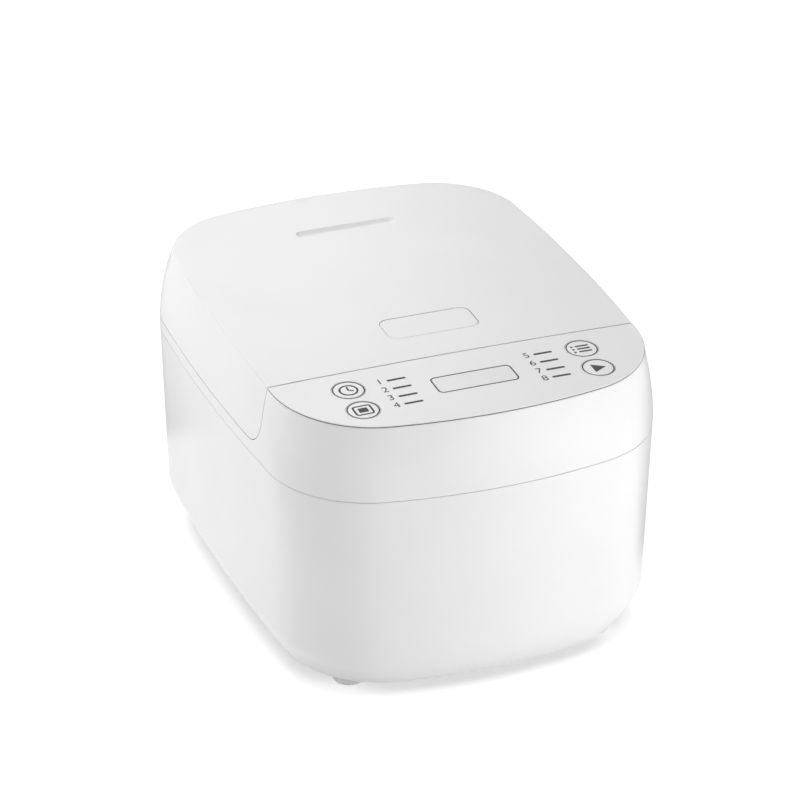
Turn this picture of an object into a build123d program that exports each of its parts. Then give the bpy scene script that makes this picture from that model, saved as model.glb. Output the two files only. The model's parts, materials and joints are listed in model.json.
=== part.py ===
"""Household rice cooker with a hinged lid, a removable pot and a sloping control panel.

Millimetres, +Z up, front towards -Y, +X to the right of someone facing the front.
The origin is on the standing surface, below the middle of the casing.
"""
import os
from math import atan, cos, pi, sin, sqrt

from build123d import *

os.makedirs("parts", exist_ok=True)

# Pot and the room round it, which set the size of the casing
pot_radius = 94.5
pot_wall = 1.6
pot_corner = 24.0
pot_edge_radius = 0.6
pot_flange_width = 5.5
pot_flange_thickness = 1.6
pocket_gap = 1.0
pocket_wall = 2.0
pocket_height = 9.0
side_room = 30.5
front_room = 2.4
back_room = 4.4
panel_depth = 79.1
pot_flange_radius = pot_radius + pot_flange_width
pocket_radius = pot_flange_radius + pocket_gap
pocket_outer_radius = pocket_radius + pocket_wall

# Walls and clearances
wall = 2.6
lid_gap = 0.5
fit_gap = 0.3
seam_gap = 0.35
key_gap = 0.25
screw_gap = 0.05
cross_slot = 0.7
pin_gap = 0.05
soft_edge_radius = 1.5
cap_edge_radius = 0.6
key_edge_radius = 0.4
overshoot = 20.0
reach = 400.0

# Hinge and lid corner sizes that the depth of the casing depends on
hinge_radius = 4.5
hinge_cut_gap = 1.0
hinge_inset = 5.0
lid_corner_radius = 18.0
hinge_cut_radius = hinge_radius + hinge_cut_gap

# Casing plan: eight arcs, a bowed side on each face and a rounded corner between them
body_width = 2 * (pot_radius + side_room)
front_part = panel_depth + lid_corner_radius + front_room
back_part = back_room + wall + hinge_cut_radius + hinge_inset
body_depth = front_part + 2 * pocket_outer_radius + back_part
side_bow_radius = 1500.0
front_bow_radius = 340.0
back_bow_radius = 480.0
front_corner_radius = 64.0
back_corner_radius = 56.0
half_width = body_width / 2
half_depth = body_depth / 2

# Heights
foot_height = 7.1
band_height = 19.3
shell_height = 111.5
strip_height = 8.7
floor_z = foot_height
band_z = floor_z + band_height
seam_z = band_z + shell_height
deck_z = seam_z + strip_height

# How far the casing draws in: at the floor, at the soft crease and towards the top
floor_inset_side = 13.4
floor_inset_front = 13.4
floor_inset_back = 15.0
band_inset_side = 2.5
band_inset_front = 2.9
band_inset_back = 2.2
crease_reach = 7.0
crease_steps = 3
top_lean = 0.05
top_reference_height = 45.0
top_inset_side = 6.0
top_inset_front = 8.8
top_inset_back = 11.2
plan_step = 15.0
plan_step_count = 5

# Crowned top: the lid and the panel meet at a fold that runs straight across
fold_height = 42.7
fold_y = panel_depth - half_depth
fold_z = deck_z + fold_height
crown_radius = 4800.0
lid_arch_radius = 3925.0
lid_slope_at_fold = 0.0605
panel_slope = 0.063
lid_front_lean = 2.6
lid_crease_radius = 1.0
panel_crease_radius = 0.5
panel_rim = 0.9
panel_seam_gap = 0.2
panel_thickness = 2.6
lid_bottom_z = deck_z + lid_gap
ceiling_z = lid_bottom_z + pocket_height
ceiling_top_z = ceiling_z + pocket_wall

# Pot, its heater and its shield, on one vertical axis behind the middle
pot_y = half_depth - back_part - pocket_outer_radius
heater_room = 26.9
deck_hole_gap = 1.5
pot_bottom_z = floor_z + heater_room
deck_hole_radius = pot_radius + deck_hole_gap
shield_gap = 3.0
shield_wall = 1.0
shield_radius = pot_radius + shield_gap
shield_flange_width = 7.0
heater_radius = 78.0
heater_groove_inset = 29.64
heater_groove_width = 2.0
heater_groove_depth = 0.8
heater_groove_radius = heater_radius - heater_groove_inset
heater_thickness = 10.5
heater_top_z = pot_bottom_z - fit_gap
shield_floor_z = heater_top_z - heater_thickness

# Hinge at the back
hinge_rise = 3.1
hinge_y = half_depth - hinge_inset
hinge_z = lid_bottom_z + hinge_rise
hinge_pin_radius = 1.75
hinge_barrel_half = 16.0
hinge_spring_length = 10.0
hinge_ear_length = 17.0
hinge_side_gap = 0.5
hinge_ear_start = hinge_barrel_half + hinge_spring_length + 2 * hinge_side_gap
hinge_ear_end = hinge_ear_start + hinge_ear_length
hinge_cut_half = 70.0
hinge_cut_rise = 1.5
hinge_cut_top = hinge_z + hinge_cut_radius + hinge_cut_rise
saddle_half = hinge_ear_start - hinge_side_gap


def corner_arc(half_w, side_r, depth, bow_r, corner_r):
    """Centre of the corner that is tangent inside both bows, and its two tangent points."""
    bow_y = depth - bow_r
    side_x = half_w - side_r
    bow_d = bow_r - corner_r
    side_d = side_r - corner_r
    span = sqrt(side_x**2 + bow_y**2)
    along = (bow_d**2 - side_d**2 + span**2) / (2 * span)
    off = sqrt(bow_d**2 - along**2)
    ux, uy = side_x / span, -bow_y / span
    options = [
        (ux * along - uy * off, bow_y + uy * along + ux * off),
        (ux * along + uy * off, bow_y + uy * along - ux * off),
    ]
    cx, cy = max(options)
    start = (cx * bow_r / bow_d, bow_y + (cy - bow_y) * bow_r / bow_d)
    end = (side_x + (cx - side_x) * side_r / side_d, cy * side_r / side_d)
    lean_x = start[0] + end[0] - 2 * cx
    lean_y = start[1] + end[1] - 2 * cy
    scale = corner_r / sqrt(lean_x**2 + lean_y**2)
    middle = (cx + lean_x * scale, cy + lean_y * scale)
    return start, middle, end


def plan_face(z, insets, inset=0.0):
    """Casing plan at height z; insets are (side, front, back), inset is a parallel wall."""
    half_w = half_width - insets[0] - inset
    front = half_depth - insets[1] - inset
    back = half_depth - insets[2] - inset
    side_r = side_bow_radius - inset
    f1, f2, f3 = corner_arc(half_w, side_r, front, front_bow_radius - inset,
                            front_corner_radius - inset)
    b1, b2, b3 = corner_arc(half_w, side_r, back, back_bow_radius - inset,
                            back_corner_radius - inset)
    with BuildSketch(Plane.XY.offset(z)) as plan:
        with BuildLine():
            ThreePointArc((-f1[0], -f1[1]), (0, -front), (f1[0], -f1[1]))
            ThreePointArc((f1[0], -f1[1]), (f2[0], -f2[1]), (f3[0], -f3[1]))
            ThreePointArc((f3[0], -f3[1]), (half_w, 0), b3)
            ThreePointArc(b3, b2, b1)
            ThreePointArc(b1, (0, back), (-b1[0], b1[1]))
            ThreePointArc((-b1[0], b1[1]), (-b2[0], b2[1]), (-b3[0], b3[1]))
            ThreePointArc((-b3[0], b3[1]), (-half_w, 0), (-f3[0], -f3[1]))
            ThreePointArc((-f3[0], -f3[1]), (-f2[0], -f2[1]), (-f1[0], -f1[1]))
        make_face()
    return plan.sketch.face()


floor_insets = (floor_inset_side, floor_inset_front, floor_inset_back)
band_insets = (band_inset_side, band_inset_front, band_inset_back)


def band_insets_at(z):
    """How far each face of the casing has drawn in at height z, below the soft crease."""
    share = (z - floor_z) / band_height
    return tuple(low + (high - low) * share for low, high in zip(floor_insets, band_insets))


def soft_crease_at(z):
    """Insets near the crease: a parabola that leaves the band and joins the shell smoothly."""
    along = (z - band_z + crease_reach) / (2 * crease_reach)
    below = band_insets_at(z)
    above = tuple(inset * (seam_z - z) / shell_height for inset in band_insets)
    low = band_insets_at(band_z - crease_reach)
    high = tuple(inset * (shell_height - crease_reach) / shell_height for inset in band_insets)
    if along <= 0:
        return below
    if along >= 1:
        return above
    return tuple((1 - along) ** 2 * a + 2 * along * (1 - along) * b + along**2 * c
                 for a, b, c in zip(low, band_insets, high))


def lower_plans(inset=0.0):
    """Plans of the lower casing: floor, steps round the soft crease, and seam."""
    steps = [band_z + crease_reach * k / crease_steps for k in range(-crease_steps, crease_steps + 1)]
    heights = [floor_z] + steps + [seam_z]
    return [plan_face(z, soft_crease_at(z), inset) for z in heights]


def lean_at(z):
    """How far each face of the upper casing has drawn in at height z."""
    height = max(z - deck_z, 0.0)
    share = (height / top_reference_height) ** 2
    straight = top_lean * height
    full = top_lean * top_reference_height
    return tuple(straight + (top - full) * share
                 for top in (top_inset_side, top_inset_front, top_inset_back))


def upper_plans(bottom_z, inset=0.0):
    """Plans of the frame and the lid, from bottom_z to well above the crowned top."""
    steps = [plan_step * k for k in range(plan_step_count)]
    heights = [bottom_z] + [deck_z + step for step in steps if deck_z + step > bottom_z + plan_step / 3]
    return [plan_face(z, lean_at(z), inset) for z in heights]


def crown_sag(x):
    """How far the crowned top lies below its middle line at x."""
    return crown_radius - sqrt(crown_radius**2 - x**2)


def crown_profile(plane, top, bottom):
    """Slab between two crowned lines, across the width, at heights top and bottom on plane."""
    half = half_width + overshoot
    sag = crown_sag(half)
    with BuildSketch(plane) as slab:
        with BuildLine():
            ThreePointArc((-half, top - sag), (0, top), (half, top - sag))
            Line((half, top - sag), (half, bottom - sag))
            ThreePointArc((half, bottom - sag), (0, bottom), (-half, bottom - sag))
            Line((-half, bottom - sag), (-half, top - sag))
        make_face()
    return slab.sketch.face()


# The panel slopes down towards the front from the fold
panel_angle = atan(panel_slope)
panel_normal = (0, -sin(panel_angle), cos(panel_angle))
panel_forward = (0, -cos(panel_angle), -sin(panel_angle))
panel_plane = Plane(origin=(0, fold_y, fold_z), x_dir=(1, 0, 0), z_dir=panel_normal)
panel_section = Plane(origin=(0, fold_y, fold_z), x_dir=(1, 0, 0), z_dir=panel_forward)

# The lid arches about an axis far below it, which passes under its highest line
arch_angle = atan(lid_slope_at_fold)
arch_y = fold_y + lid_arch_radius * sin(arch_angle)
arch_z = fold_z - lid_arch_radius * cos(arch_angle)
arch_axis = Axis((0, arch_y, arch_z), (-1, 0, 0))
arch_section = Plane(
    origin=(0, fold_y, fold_z),
    x_dir=(1, 0, 0),
    z_dir=(0, -cos(arch_angle), -sin(arch_angle)),
)
arch_sweep = 7.0


def lid_top_z(y):
    """Height of the lid's top on the middle line."""
    return arch_z + sqrt(lid_arch_radius**2 - (y - arch_y) ** 2)


def panel_z(y):
    """Height of the panel's top on the middle line."""
    return fold_z + (y - fold_y) * panel_slope


def lid_side_profile(inset):
    """Side view of the lid's space: leaning front, rounded lower corner, flat underside."""
    front = fold_y + inset
    low = lid_bottom_z + inset
    high = fold_z + 2 * overshoot
    lean = lid_front_lean / (fold_z - lid_bottom_z)
    corner = (front + lean * (fold_z - low), low)
    with BuildSketch(Plane.YZ) as profile:
        with BuildLine():
            Polyline((front - lean * (high - fold_z), high), corner, (reach, low), (reach, high), close=True)
        make_face()
        fillet(profile.vertices().sort_by_distance(corner)[0], lid_corner_radius - inset)
    return profile.sketch.face()


def finish(piece, name):
    """Label a finished piece and write it under its own name."""
    piece.part.label = name
    export_step(piece.part, f"parts/{name}.step")


# Lower shell: tapered wall with a flange at its foot that the base plate screws to
base_thickness = 2.5
base_gap = 0.8
flange_thickness = 3.0
flange_width = 12.0
inlet_rise = 34.9
inlet_flange_corner = 3.0
inlet_z = floor_z + inlet_rise
inlet_width = 28.0
inlet_height = 20.0
inlet_depth = 17.0
inlet_flange = 3.0
inlet_wall = 1.8
inlet_flange_thickness = 1.2
base_screw_x = half_width - floor_inset_side - wall - flange_width / 2
base_screw_front = 70.0
base_screw_back = 70.0
screw_radius = 1.5
screw_head_radius = 3.0
screw_head_height = 1.8
base_screw_places = [
    (x, y) for x in (-base_screw_x, base_screw_x) for y in (-base_screw_front, base_screw_back)
]
flange_z = floor_z + base_thickness
back_at_inlet = half_depth - band_inset_back * (seam_z - inlet_z) / shell_height

with BuildPart() as lower_shell:
    loft(lower_plans(), ruled=True)
    loft(lower_plans(wall), ruled=True, mode=Mode.SUBTRACT)
    extrude(plan_face(flange_z, band_insets_at(flange_z), wall / 2), amount=flange_thickness)
    extrude(plan_face(flange_z, floor_insets, wall + flange_width), amount=flange_thickness,
            mode=Mode.SUBTRACT)
    for x, y in base_screw_places:
        with BuildSketch(Plane.XY.offset(flange_z)):
            with Locations((x, y)):
                Circle(screw_head_radius + wall)
        extrude(amount=flange_thickness * 3)
        with BuildSketch(Plane.XY.offset(flange_z)):
            with Locations((x, y)):
                Circle(screw_radius + screw_gap)
        extrude(amount=flange_thickness * 3, mode=Mode.SUBTRACT)
    with BuildSketch(Plane.XZ.offset(-back_at_inlet - wall)):
        with Locations((0, inlet_z)):
            Rectangle(inlet_width + 2 * fit_gap, inlet_height + 2 * fit_gap)
    extrude(amount=4 * wall, mode=Mode.SUBTRACT)
finish(lower_shell, "lower_shell")

# Base plate: closes the shell from below and carries the feet and the board rails
foot_radius = 10.0
foot_top_radius = 10.8
foot_peg_radius = 3.0
foot_edge_radius = 2.0
foot_side_inset = 44.5
foot_front_inset = 45.0
foot_back_inset = 43.5
foot_x = half_width - foot_side_inset
foot_front = half_depth - foot_front_inset
foot_back = half_depth - foot_back_inset
foot_places = [(x, y) for x in (-foot_x, foot_x) for y in (-foot_front, foot_back)]
board_inset = 49.5
board_side_inset = 55.0
board_y = board_inset - half_depth
board_width = 2 * (half_width - board_side_inset)
board_height = 78.0
board_thickness = 1.6
rail_width = 8.0
rail_height = 40.0
rail_depth = 2.0
vent_width = 4.0
vent_length = 46.0
vent_pitch = 11.0
vent_count = 8

with BuildPart() as base_plate:
    extrude(plan_face(floor_z, floor_insets, wall + base_gap), amount=base_thickness)
    for side in (-1, 1):
        with BuildSketch(Plane.XY.offset(flange_z)):
            with Locations((side * (board_width / 2 - rail_depth + rail_width / 2), board_y)):
                Rectangle(rail_width, rail_width)
        extrude(amount=rail_height)
    with BuildSketch(Plane.XY.offset(flange_z)):
        with Locations((0, board_y)):
            Rectangle(board_width + 2 * fit_gap, board_thickness + fit_gap)
    extrude(amount=rail_height, mode=Mode.SUBTRACT)
    with BuildSketch(Plane.XY.offset(floor_z)):
        with Locations((0, pot_y)):
            with GridLocations(vent_pitch, 0, vent_count, 1):
                SlotOverall(vent_length, vent_width, rotation=90)
        with Locations(foot_places):
            Circle(foot_peg_radius + screw_gap)
        with Locations(base_screw_places):
            Circle(screw_radius + screw_gap)
    extrude(amount=base_thickness, mode=Mode.SUBTRACT)
    with BuildSketch(Plane.XY.offset(floor_z)):
        with Locations(base_screw_places):
            Circle(screw_head_radius + key_gap)
    extrude(amount=screw_head_height, mode=Mode.SUBTRACT)
finish(base_plate, "base_plate")

# Feet, each pegged into the base plate
foot_names = ("foot_front_left", "foot_back_left", "foot_front_right", "foot_back_right")
for foot_name, (x, y) in zip(foot_names, foot_places):
    with BuildPart() as foot:
        with BuildSketch(Plane.XY.move(Location((x, y, 0)))):
            Circle(foot_radius)
        with BuildSketch(Plane.XY.move(Location((x, y, foot_height)))):
            Circle(foot_top_radius)
        loft()
        fillet(foot.edges().group_by(Axis.Z)[0], foot_edge_radius)
        with BuildSketch(Plane.XY.move(Location((x, y, foot_height)))):
            Circle(foot_peg_radius)
        extrude(amount=base_thickness)
    finish(foot, foot_name)

# Screws that hold the base plate to the shell's flange
with BuildPart() as base_screws:
    with BuildSketch(Plane.XY.offset(floor_z + screw_head_height)):
        with Locations(base_screw_places):
            Circle(screw_head_radius)
    extrude(amount=-screw_head_height)
    with BuildSketch(Plane.XY.offset(floor_z + screw_head_height)):
        with Locations(base_screw_places):
            Circle(screw_radius)
    extrude(amount=flange_thickness * 3)
    with BuildSketch(Plane.XY.offset(floor_z)):
        with Locations(base_screw_places):
            Rectangle(screw_radius * 2, cross_slot)
            Rectangle(cross_slot, screw_radius * 2)
    extrude(amount=screw_head_height / 2, mode=Mode.SUBTRACT)
finish(base_screws, "base_screws")

# Mains inlet in the back wall: a flanged socket with three blades
inlet_face_y = half_depth - fit_gap / 2
inlet_back_y = inlet_face_y - inlet_flange_thickness
blade_width = 4.0
blade_thickness = 2.0
blade_pitch = 7.0
blade_rise = 1.75
blade_z = inlet_z - 2.0
blade_places = [
    (-blade_pitch, blade_z - blade_rise),
    (blade_pitch, blade_z - blade_rise),
    (0, blade_z + blade_rise),
]

with BuildPart() as inlet_socket:
    with BuildSketch(Plane.XZ.offset(-inlet_face_y)):
        with Locations((0, inlet_z)):
            RectangleRounded(inlet_width + 4 * inlet_flange, inlet_height + 2 * inlet_flange,
                             inlet_flange_corner)
    extrude(amount=inlet_face_y - inlet_back_y)
    with BuildSketch(Plane.XZ.offset(-inlet_face_y)):
        with Locations((0, inlet_z)):
            Rectangle(inlet_width, inlet_height)
    extrude(amount=inlet_depth)
    with BuildSketch(Plane.XZ.offset(-inlet_face_y)):
        with Locations((0, inlet_z)):
            Rectangle(inlet_width - 2 * inlet_wall, inlet_height - 2 * inlet_wall)
    extrude(amount=inlet_depth - inlet_wall, mode=Mode.SUBTRACT)
    with BuildSketch(Plane.XZ.offset(-inlet_face_y)):
        with Locations(blade_places):
            Rectangle(blade_thickness + 2 * screw_gap, blade_width + 2 * screw_gap)
    extrude(amount=inlet_depth, mode=Mode.SUBTRACT)
finish(inlet_socket, "inlet_socket")

with BuildPart() as inlet_blades:
    with BuildSketch(Plane.XZ.offset(-inlet_face_y + inlet_wall)):
        with Locations(blade_places):
            Rectangle(blade_thickness, blade_width)
    extrude(amount=inlet_depth)
finish(inlet_blades, "inlet_blades")

# Space inside the upper frame, which its walls, deck and latch wall are left around
with BuildPart() as frame_core:
    loft(upper_plans(seam_z - wall, wall))
    extrude(lid_side_profile(-lid_gap - wall), amount=reach, both=True, mode=Mode.SUBTRACT)
    with BuildSketch(Plane.XY.offset(seam_z + wall / 2)):
        with Locations((0, hinge_y)):
            Rectangle(2 * (saddle_half + wall), 2 * (hinge_radius + 2 * wall))
    extrude(amount=reach, mode=Mode.SUBTRACT)

# Upper frame: strip, deck with the pot's hole, front block under the panel and hinge ears
hook_half = 18.0
hook_thickness = 3.0
hook_reach = 3.2
hook_gap = 0.6
lip_height = 3.0
latch_z = ceiling_top_z + fit_gap
groove_offset = 4.0
groove_radius = pot_flange_radius + groove_offset
groove_width = 3.0
groove_depth = 1.0

with BuildPart() as upper_frame:
    loft(upper_plans(seam_z + seam_gap))
    extrude(lid_side_profile(-lid_gap), amount=reach, both=True, mode=Mode.SUBTRACT)
    extrude(crown_profile(panel_section.offset(-wall), reach / 6, -panel_rim - panel_seam_gap),
            amount=reach / 2, mode=Mode.SUBTRACT)
    add(frame_core.part, mode=Mode.SUBTRACT)
    with BuildSketch(Plane.XY.offset(deck_z)):
        with Locations((0, pot_y)):
            Circle(deck_hole_radius)
    extrude(amount=-strip_height, mode=Mode.SUBTRACT)
    with BuildSketch(Plane.XY.offset(deck_z)):
        with Locations((0, pot_y)):
            Circle(groove_radius + groove_width)
            Circle(groove_radius, mode=Mode.SUBTRACT)
    extrude(amount=-groove_depth, mode=Mode.SUBTRACT)
    with BuildSketch(Plane.YZ.offset(-hinge_cut_half + hinge_side_gap)):
        with Locations((hinge_y, hinge_z)):
            Circle(hinge_radius)
        with Locations((hinge_y, (hinge_z + deck_z - wall) / 2)):
            Rectangle(2 * hinge_radius, hinge_z - deck_z + wall)
    extrude(amount=2 * (hinge_cut_half - hinge_side_gap))
    with BuildSketch(Plane.XY.offset(hinge_z - hinge_radius - hinge_cut_gap)):
        with Locations((0, hinge_y + reach / 2 - hinge_radius - hinge_cut_gap)):
            Rectangle(2 * saddle_half, reach)
    extrude(amount=reach, mode=Mode.SUBTRACT)
    with BuildSketch(Plane.YZ.offset(-hinge_ear_end - pin_gap)):
        with Locations((hinge_y, hinge_z)):
            Circle(hinge_pin_radius + pin_gap)
    extrude(amount=2 * (hinge_ear_end + pin_gap), mode=Mode.SUBTRACT)
    for low, high in ((latch_z - hook_gap, latch_z + hook_thickness + hook_gap),
                      (latch_z + hook_thickness + hook_gap + lip_height,
                       panel_z(fold_y) - panel_thickness - wall)):
        with BuildSketch(Plane.XY.offset(low)):
            with Locations((0, fold_y)):
                Rectangle(2 * (hook_half + hook_gap), 6 * wall)
        extrude(amount=high - low, mode=Mode.SUBTRACT)
    loft(upper_plans(seam_z + seam_gap), mode=Mode.INTERSECT)
finish(upper_frame, "upper_frame")

# Control panel: the crowned plate on the front block, with openings for keys and display
key_radius = 10.2
key_inset = 50.3
key_back_offset = 20.4
key_front_offset = 44.3
key_x = half_width - key_inset
key_back_y = fold_y - key_back_offset
key_front_y = fold_y - key_front_offset
key_travel = 0.5
key_flange = 1.2
key_flange_thickness = 1.0
display_width = 51.8
display_depth = 18.6
display_offset = 33.2
display_y = fold_y - display_offset
display_corner = 3.5
display_ledge = 2.0
module_side = 3.0
module_end = 4.0
display_thickness = 1.6
switch_height = 3.5
switch_size = 6.2
plunger_radius = 1.7
key_places = [
    (x, (y - fold_y) / cos(panel_angle))
    for x in (-key_x, key_x) for y in (key_back_y, key_front_y)
]
display_place = (0, (display_y - fold_y) / cos(panel_angle))
key_low = panel_thickness + key_flange_thickness + crown_sag(key_x)
panel_board_drop = key_low + key_travel + switch_height + fit_gap
panel_board_inset = 25.0
panel_board_width = body_width - 2 * panel_board_inset
panel_board_depth = 44.0
panel_board_corner = 16.0
panel_board_place = (0, display_place[1])
post_radius = 3.2
post_places = [
    (x, display_place[1] + y)
    for x in (-panel_board_width / 2 + 2 * post_radius, panel_board_width / 2 - 2 * post_radius)
    for y in (-panel_board_depth / 4, panel_board_depth / 4)
]


def panel_at(drop):
    """Plane parallel to the panel, the given distance below its middle line."""
    return panel_plane.offset(-drop)


panel_step = lid_gap + wall + fit_gap
with BuildPart() as panel_body:
    loft(upper_plans(seam_z, wall + fit_gap))
    extrude(crown_profile(panel_section.offset(panel_step), -panel_rim / 2, -panel_thickness),
            amount=reach / 2, mode=Mode.INTERSECT)

with BuildPart() as control_panel:
    loft(upper_plans(seam_z))
    extrude(crown_profile(panel_section.offset(lid_gap), 0.0, -panel_thickness), amount=reach / 2,
            mode=Mode.INTERSECT)
    top_edges = control_panel.faces().sort_by(Axis.Z)[-1].edges()
    fillet(top_edges.sort_by(Axis.Y)[:-1], panel_crease_radius)
    extrude(crown_profile(panel_section.offset(-wall), wall, -panel_rim), amount=reach / 2,
            mode=Mode.INTERSECT)
    add(panel_body.part)
    with BuildSketch(panel_at(panel_board_drop)):
        with Locations(post_places):
            Circle(post_radius)
    extrude(amount=panel_board_drop - panel_thickness / 2)
    with BuildSketch(panel_at(panel_board_drop)):
        with Locations(post_places):
            Circle(screw_radius + screw_gap)
    extrude(amount=panel_board_drop - 1.5 * panel_thickness, mode=Mode.SUBTRACT)
    with BuildSketch(panel_at(panel_thickness * 2)):
        with Locations(key_places):
            Circle(key_radius + key_gap)
    extrude(amount=panel_thickness * 3, mode=Mode.SUBTRACT)
    with BuildSketch(panel_at(display_thickness)):
        with Locations(display_place):
            RectangleRounded(display_width, display_depth, display_corner)
    extrude(amount=panel_thickness, mode=Mode.SUBTRACT)
    with BuildSketch(panel_at(panel_thickness * 2)):
        with Locations(display_place):
            RectangleRounded(display_width - 2 * display_ledge, display_depth - 2 * display_ledge,
                             display_corner - display_ledge / 2)
    extrude(amount=panel_thickness * 2, mode=Mode.SUBTRACT)
finish(control_panel, "control_panel")

# Keys: a dished cap, flush with the panel, above a flange that the panel holds down
key_names = ("key_left_back", "key_left_front", "key_right_back", "key_right_front")
for key_name, place in zip(key_names, key_places):
    with BuildPart() as key:
        with BuildSketch(panel_at(key_low + fit_gap)):
            with Locations(place):
                Circle(key_radius)
        extrude(amount=key_low + 2 * panel_thickness)
        extrude(crown_profile(panel_section, 0.0, -reach / 8), amount=reach / 2,
                mode=Mode.INTERSECT)
        fillet(key.faces().sort_by(Axis.Z)[-1].edges(), key_edge_radius)
        with BuildSketch(panel_at(key_low + fit_gap)):
            with Locations(place):
                Circle(key_radius + key_flange)
        extrude(amount=key_flange_thickness)
    finish(key, key_name)

# Display: a window let into the panel, and the module behind it on the board
with BuildPart() as display_window:
    with BuildSketch(panel_at(display_thickness)):
        with Locations(display_place):
            RectangleRounded(display_width - 2 * screw_gap, display_depth - 2 * screw_gap,
                             display_corner - screw_gap)
    extrude(amount=panel_thickness)
    extrude(crown_profile(panel_section, 0.0, -reach / 8), amount=reach / 2, mode=Mode.INTERSECT)
finish(display_window, "display_window")

with BuildPart() as display_module:
    with BuildSketch(panel_at(panel_board_drop)):
        with Locations(display_place):
            Rectangle(display_width + 2 * module_side, display_depth + 2 * module_end)
    extrude(amount=panel_board_drop - panel_thickness - fit_gap)
finish(display_module, "display_module")

with BuildPart() as control_board:
    with BuildSketch(panel_at(panel_board_drop)):
        with Locations(panel_board_place):
            RectangleRounded(panel_board_width, panel_board_depth, panel_board_corner)
        with Locations(post_places):
            Circle(screw_radius + screw_gap, mode=Mode.SUBTRACT)
    extrude(amount=-board_thickness)
finish(control_board, "control_board")

with BuildPart() as key_switches:
    with BuildSketch(panel_at(panel_board_drop)):
        with Locations(key_places):
            Rectangle(switch_size, switch_size)
    extrude(amount=switch_height - 2 * key_gap)
    with BuildSketch(panel_at(panel_board_drop)):
        with Locations(key_places):
            Circle(plunger_radius)
    extrude(amount=switch_height - screw_gap)
finish(key_switches, "key_switches")

with BuildPart() as board_screws:
    with BuildSketch(panel_at(panel_board_drop + board_thickness)):
        with Locations(post_places):
            Circle(screw_head_radius)
    extrude(amount=-screw_head_height)
    with BuildSketch(panel_at(panel_board_drop + board_thickness)):
        with Locations(post_places):
            Circle(screw_radius)
    extrude(amount=panel_board_drop + board_thickness - 1.5 * panel_thickness - fit_gap)
finish(board_screws, "board_screws")

# Power board in the base plate's rails, with its larger components
relay_width = 19.0
relay_depth = 16.0
relay_height = 15.0
transformer_width = 38.0
transformer_depth = 30.0
transformer_height = 32.0
transformer_corner = 2.0
capacitor_radius = 8.0
capacitor_length = 22.0
board_bottom_z = flange_z
component_z = board_bottom_z + board_height / 2

with BuildPart() as power_board:
    with BuildSketch(Plane.XZ.offset(-board_y + board_thickness / 2)):
        with Locations((0, board_bottom_z + board_height / 2)):
            Rectangle(board_width, board_height)
    extrude(amount=-board_thickness)
finish(power_board, "power_board")

board_back_y = board_y + board_thickness / 2
with BuildPart() as transformer:
    with BuildSketch(Plane.XZ.offset(-board_back_y)):
        with Locations((-board_width / 5, component_z)):
            RectangleRounded(transformer_width, transformer_height, transformer_corner)
    extrude(amount=-transformer_depth)
finish(transformer, "transformer")

with BuildPart() as relay:
    with BuildSketch(Plane.XZ.offset(-board_back_y)):
        with Locations((board_width / 4, component_z)):
            Rectangle(relay_width, relay_height)
    extrude(amount=-relay_depth)
finish(relay, "relay")

with BuildPart() as capacitor:
    with BuildSketch(Plane.XZ.offset(-board_back_y)):
        with Locations((board_width / 14, component_z)):
            Circle(capacitor_radius)
    extrude(amount=-capacitor_length)
    fillet(capacitor.edges().group_by(Axis.Y)[-1], 1.0)
finish(capacitor, "capacitor")

# Inner pot: drawn bowl with a flange that rests on the deck
pot_rim_z = deck_z + pot_flange_thickness
pot_bottom_radius = pot_radius - pot_corner
pot_plane = Plane(origin=(0, pot_y, 0), x_dir=(1, 0, 0), z_dir=(0, -1, 0))
diagonal = sqrt(0.5)

with BuildPart() as inner_pot:
    with BuildSketch(pot_plane):
        with BuildLine():
            Line((0, pot_bottom_z), (pot_bottom_radius, pot_bottom_z))
            ThreePointArc(
                (pot_bottom_radius, pot_bottom_z),
                (pot_bottom_radius + pot_corner * diagonal,
                 pot_bottom_z + pot_corner * (1 - diagonal)),
                (pot_radius, pot_bottom_z + pot_corner),
            )
            Line((pot_radius, pot_bottom_z + pot_corner), (pot_radius, deck_z))
            Line((pot_radius, deck_z), (pot_flange_radius, deck_z))
            Line((pot_flange_radius, deck_z), (pot_flange_radius, pot_rim_z))
            Line((pot_flange_radius, pot_rim_z), (pot_radius - pot_wall, pot_rim_z))
            Line((pot_radius - pot_wall, pot_rim_z),
                 (pot_radius - pot_wall, pot_bottom_z + pot_corner))
            ThreePointArc(
                (pot_radius - pot_wall, pot_bottom_z + pot_corner),
                (pot_bottom_radius + (pot_corner - pot_wall) * diagonal,
                 pot_bottom_z + pot_corner - (pot_corner - pot_wall) * diagonal),
                (pot_bottom_radius, pot_bottom_z + pot_wall),
            )
            Line((pot_bottom_radius, pot_bottom_z + pot_wall), (0, pot_bottom_z + pot_wall))
            Line((0, pot_bottom_z + pot_wall), (0, pot_bottom_z))
        make_face()
    revolve(axis=Axis((0, pot_y, 0), (0, 0, 1)))
    fillet(inner_pot.edges().group_by(Axis.Z)[-1], pot_edge_radius)
finish(inner_pot, "inner_pot")

# Steel shield round the pot, hung from the deck, with the heater on its floor
sensor_radius = 14.0
sensor_hole_radius = sensor_radius + 1.0
shield_top_z = deck_z - wall

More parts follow.
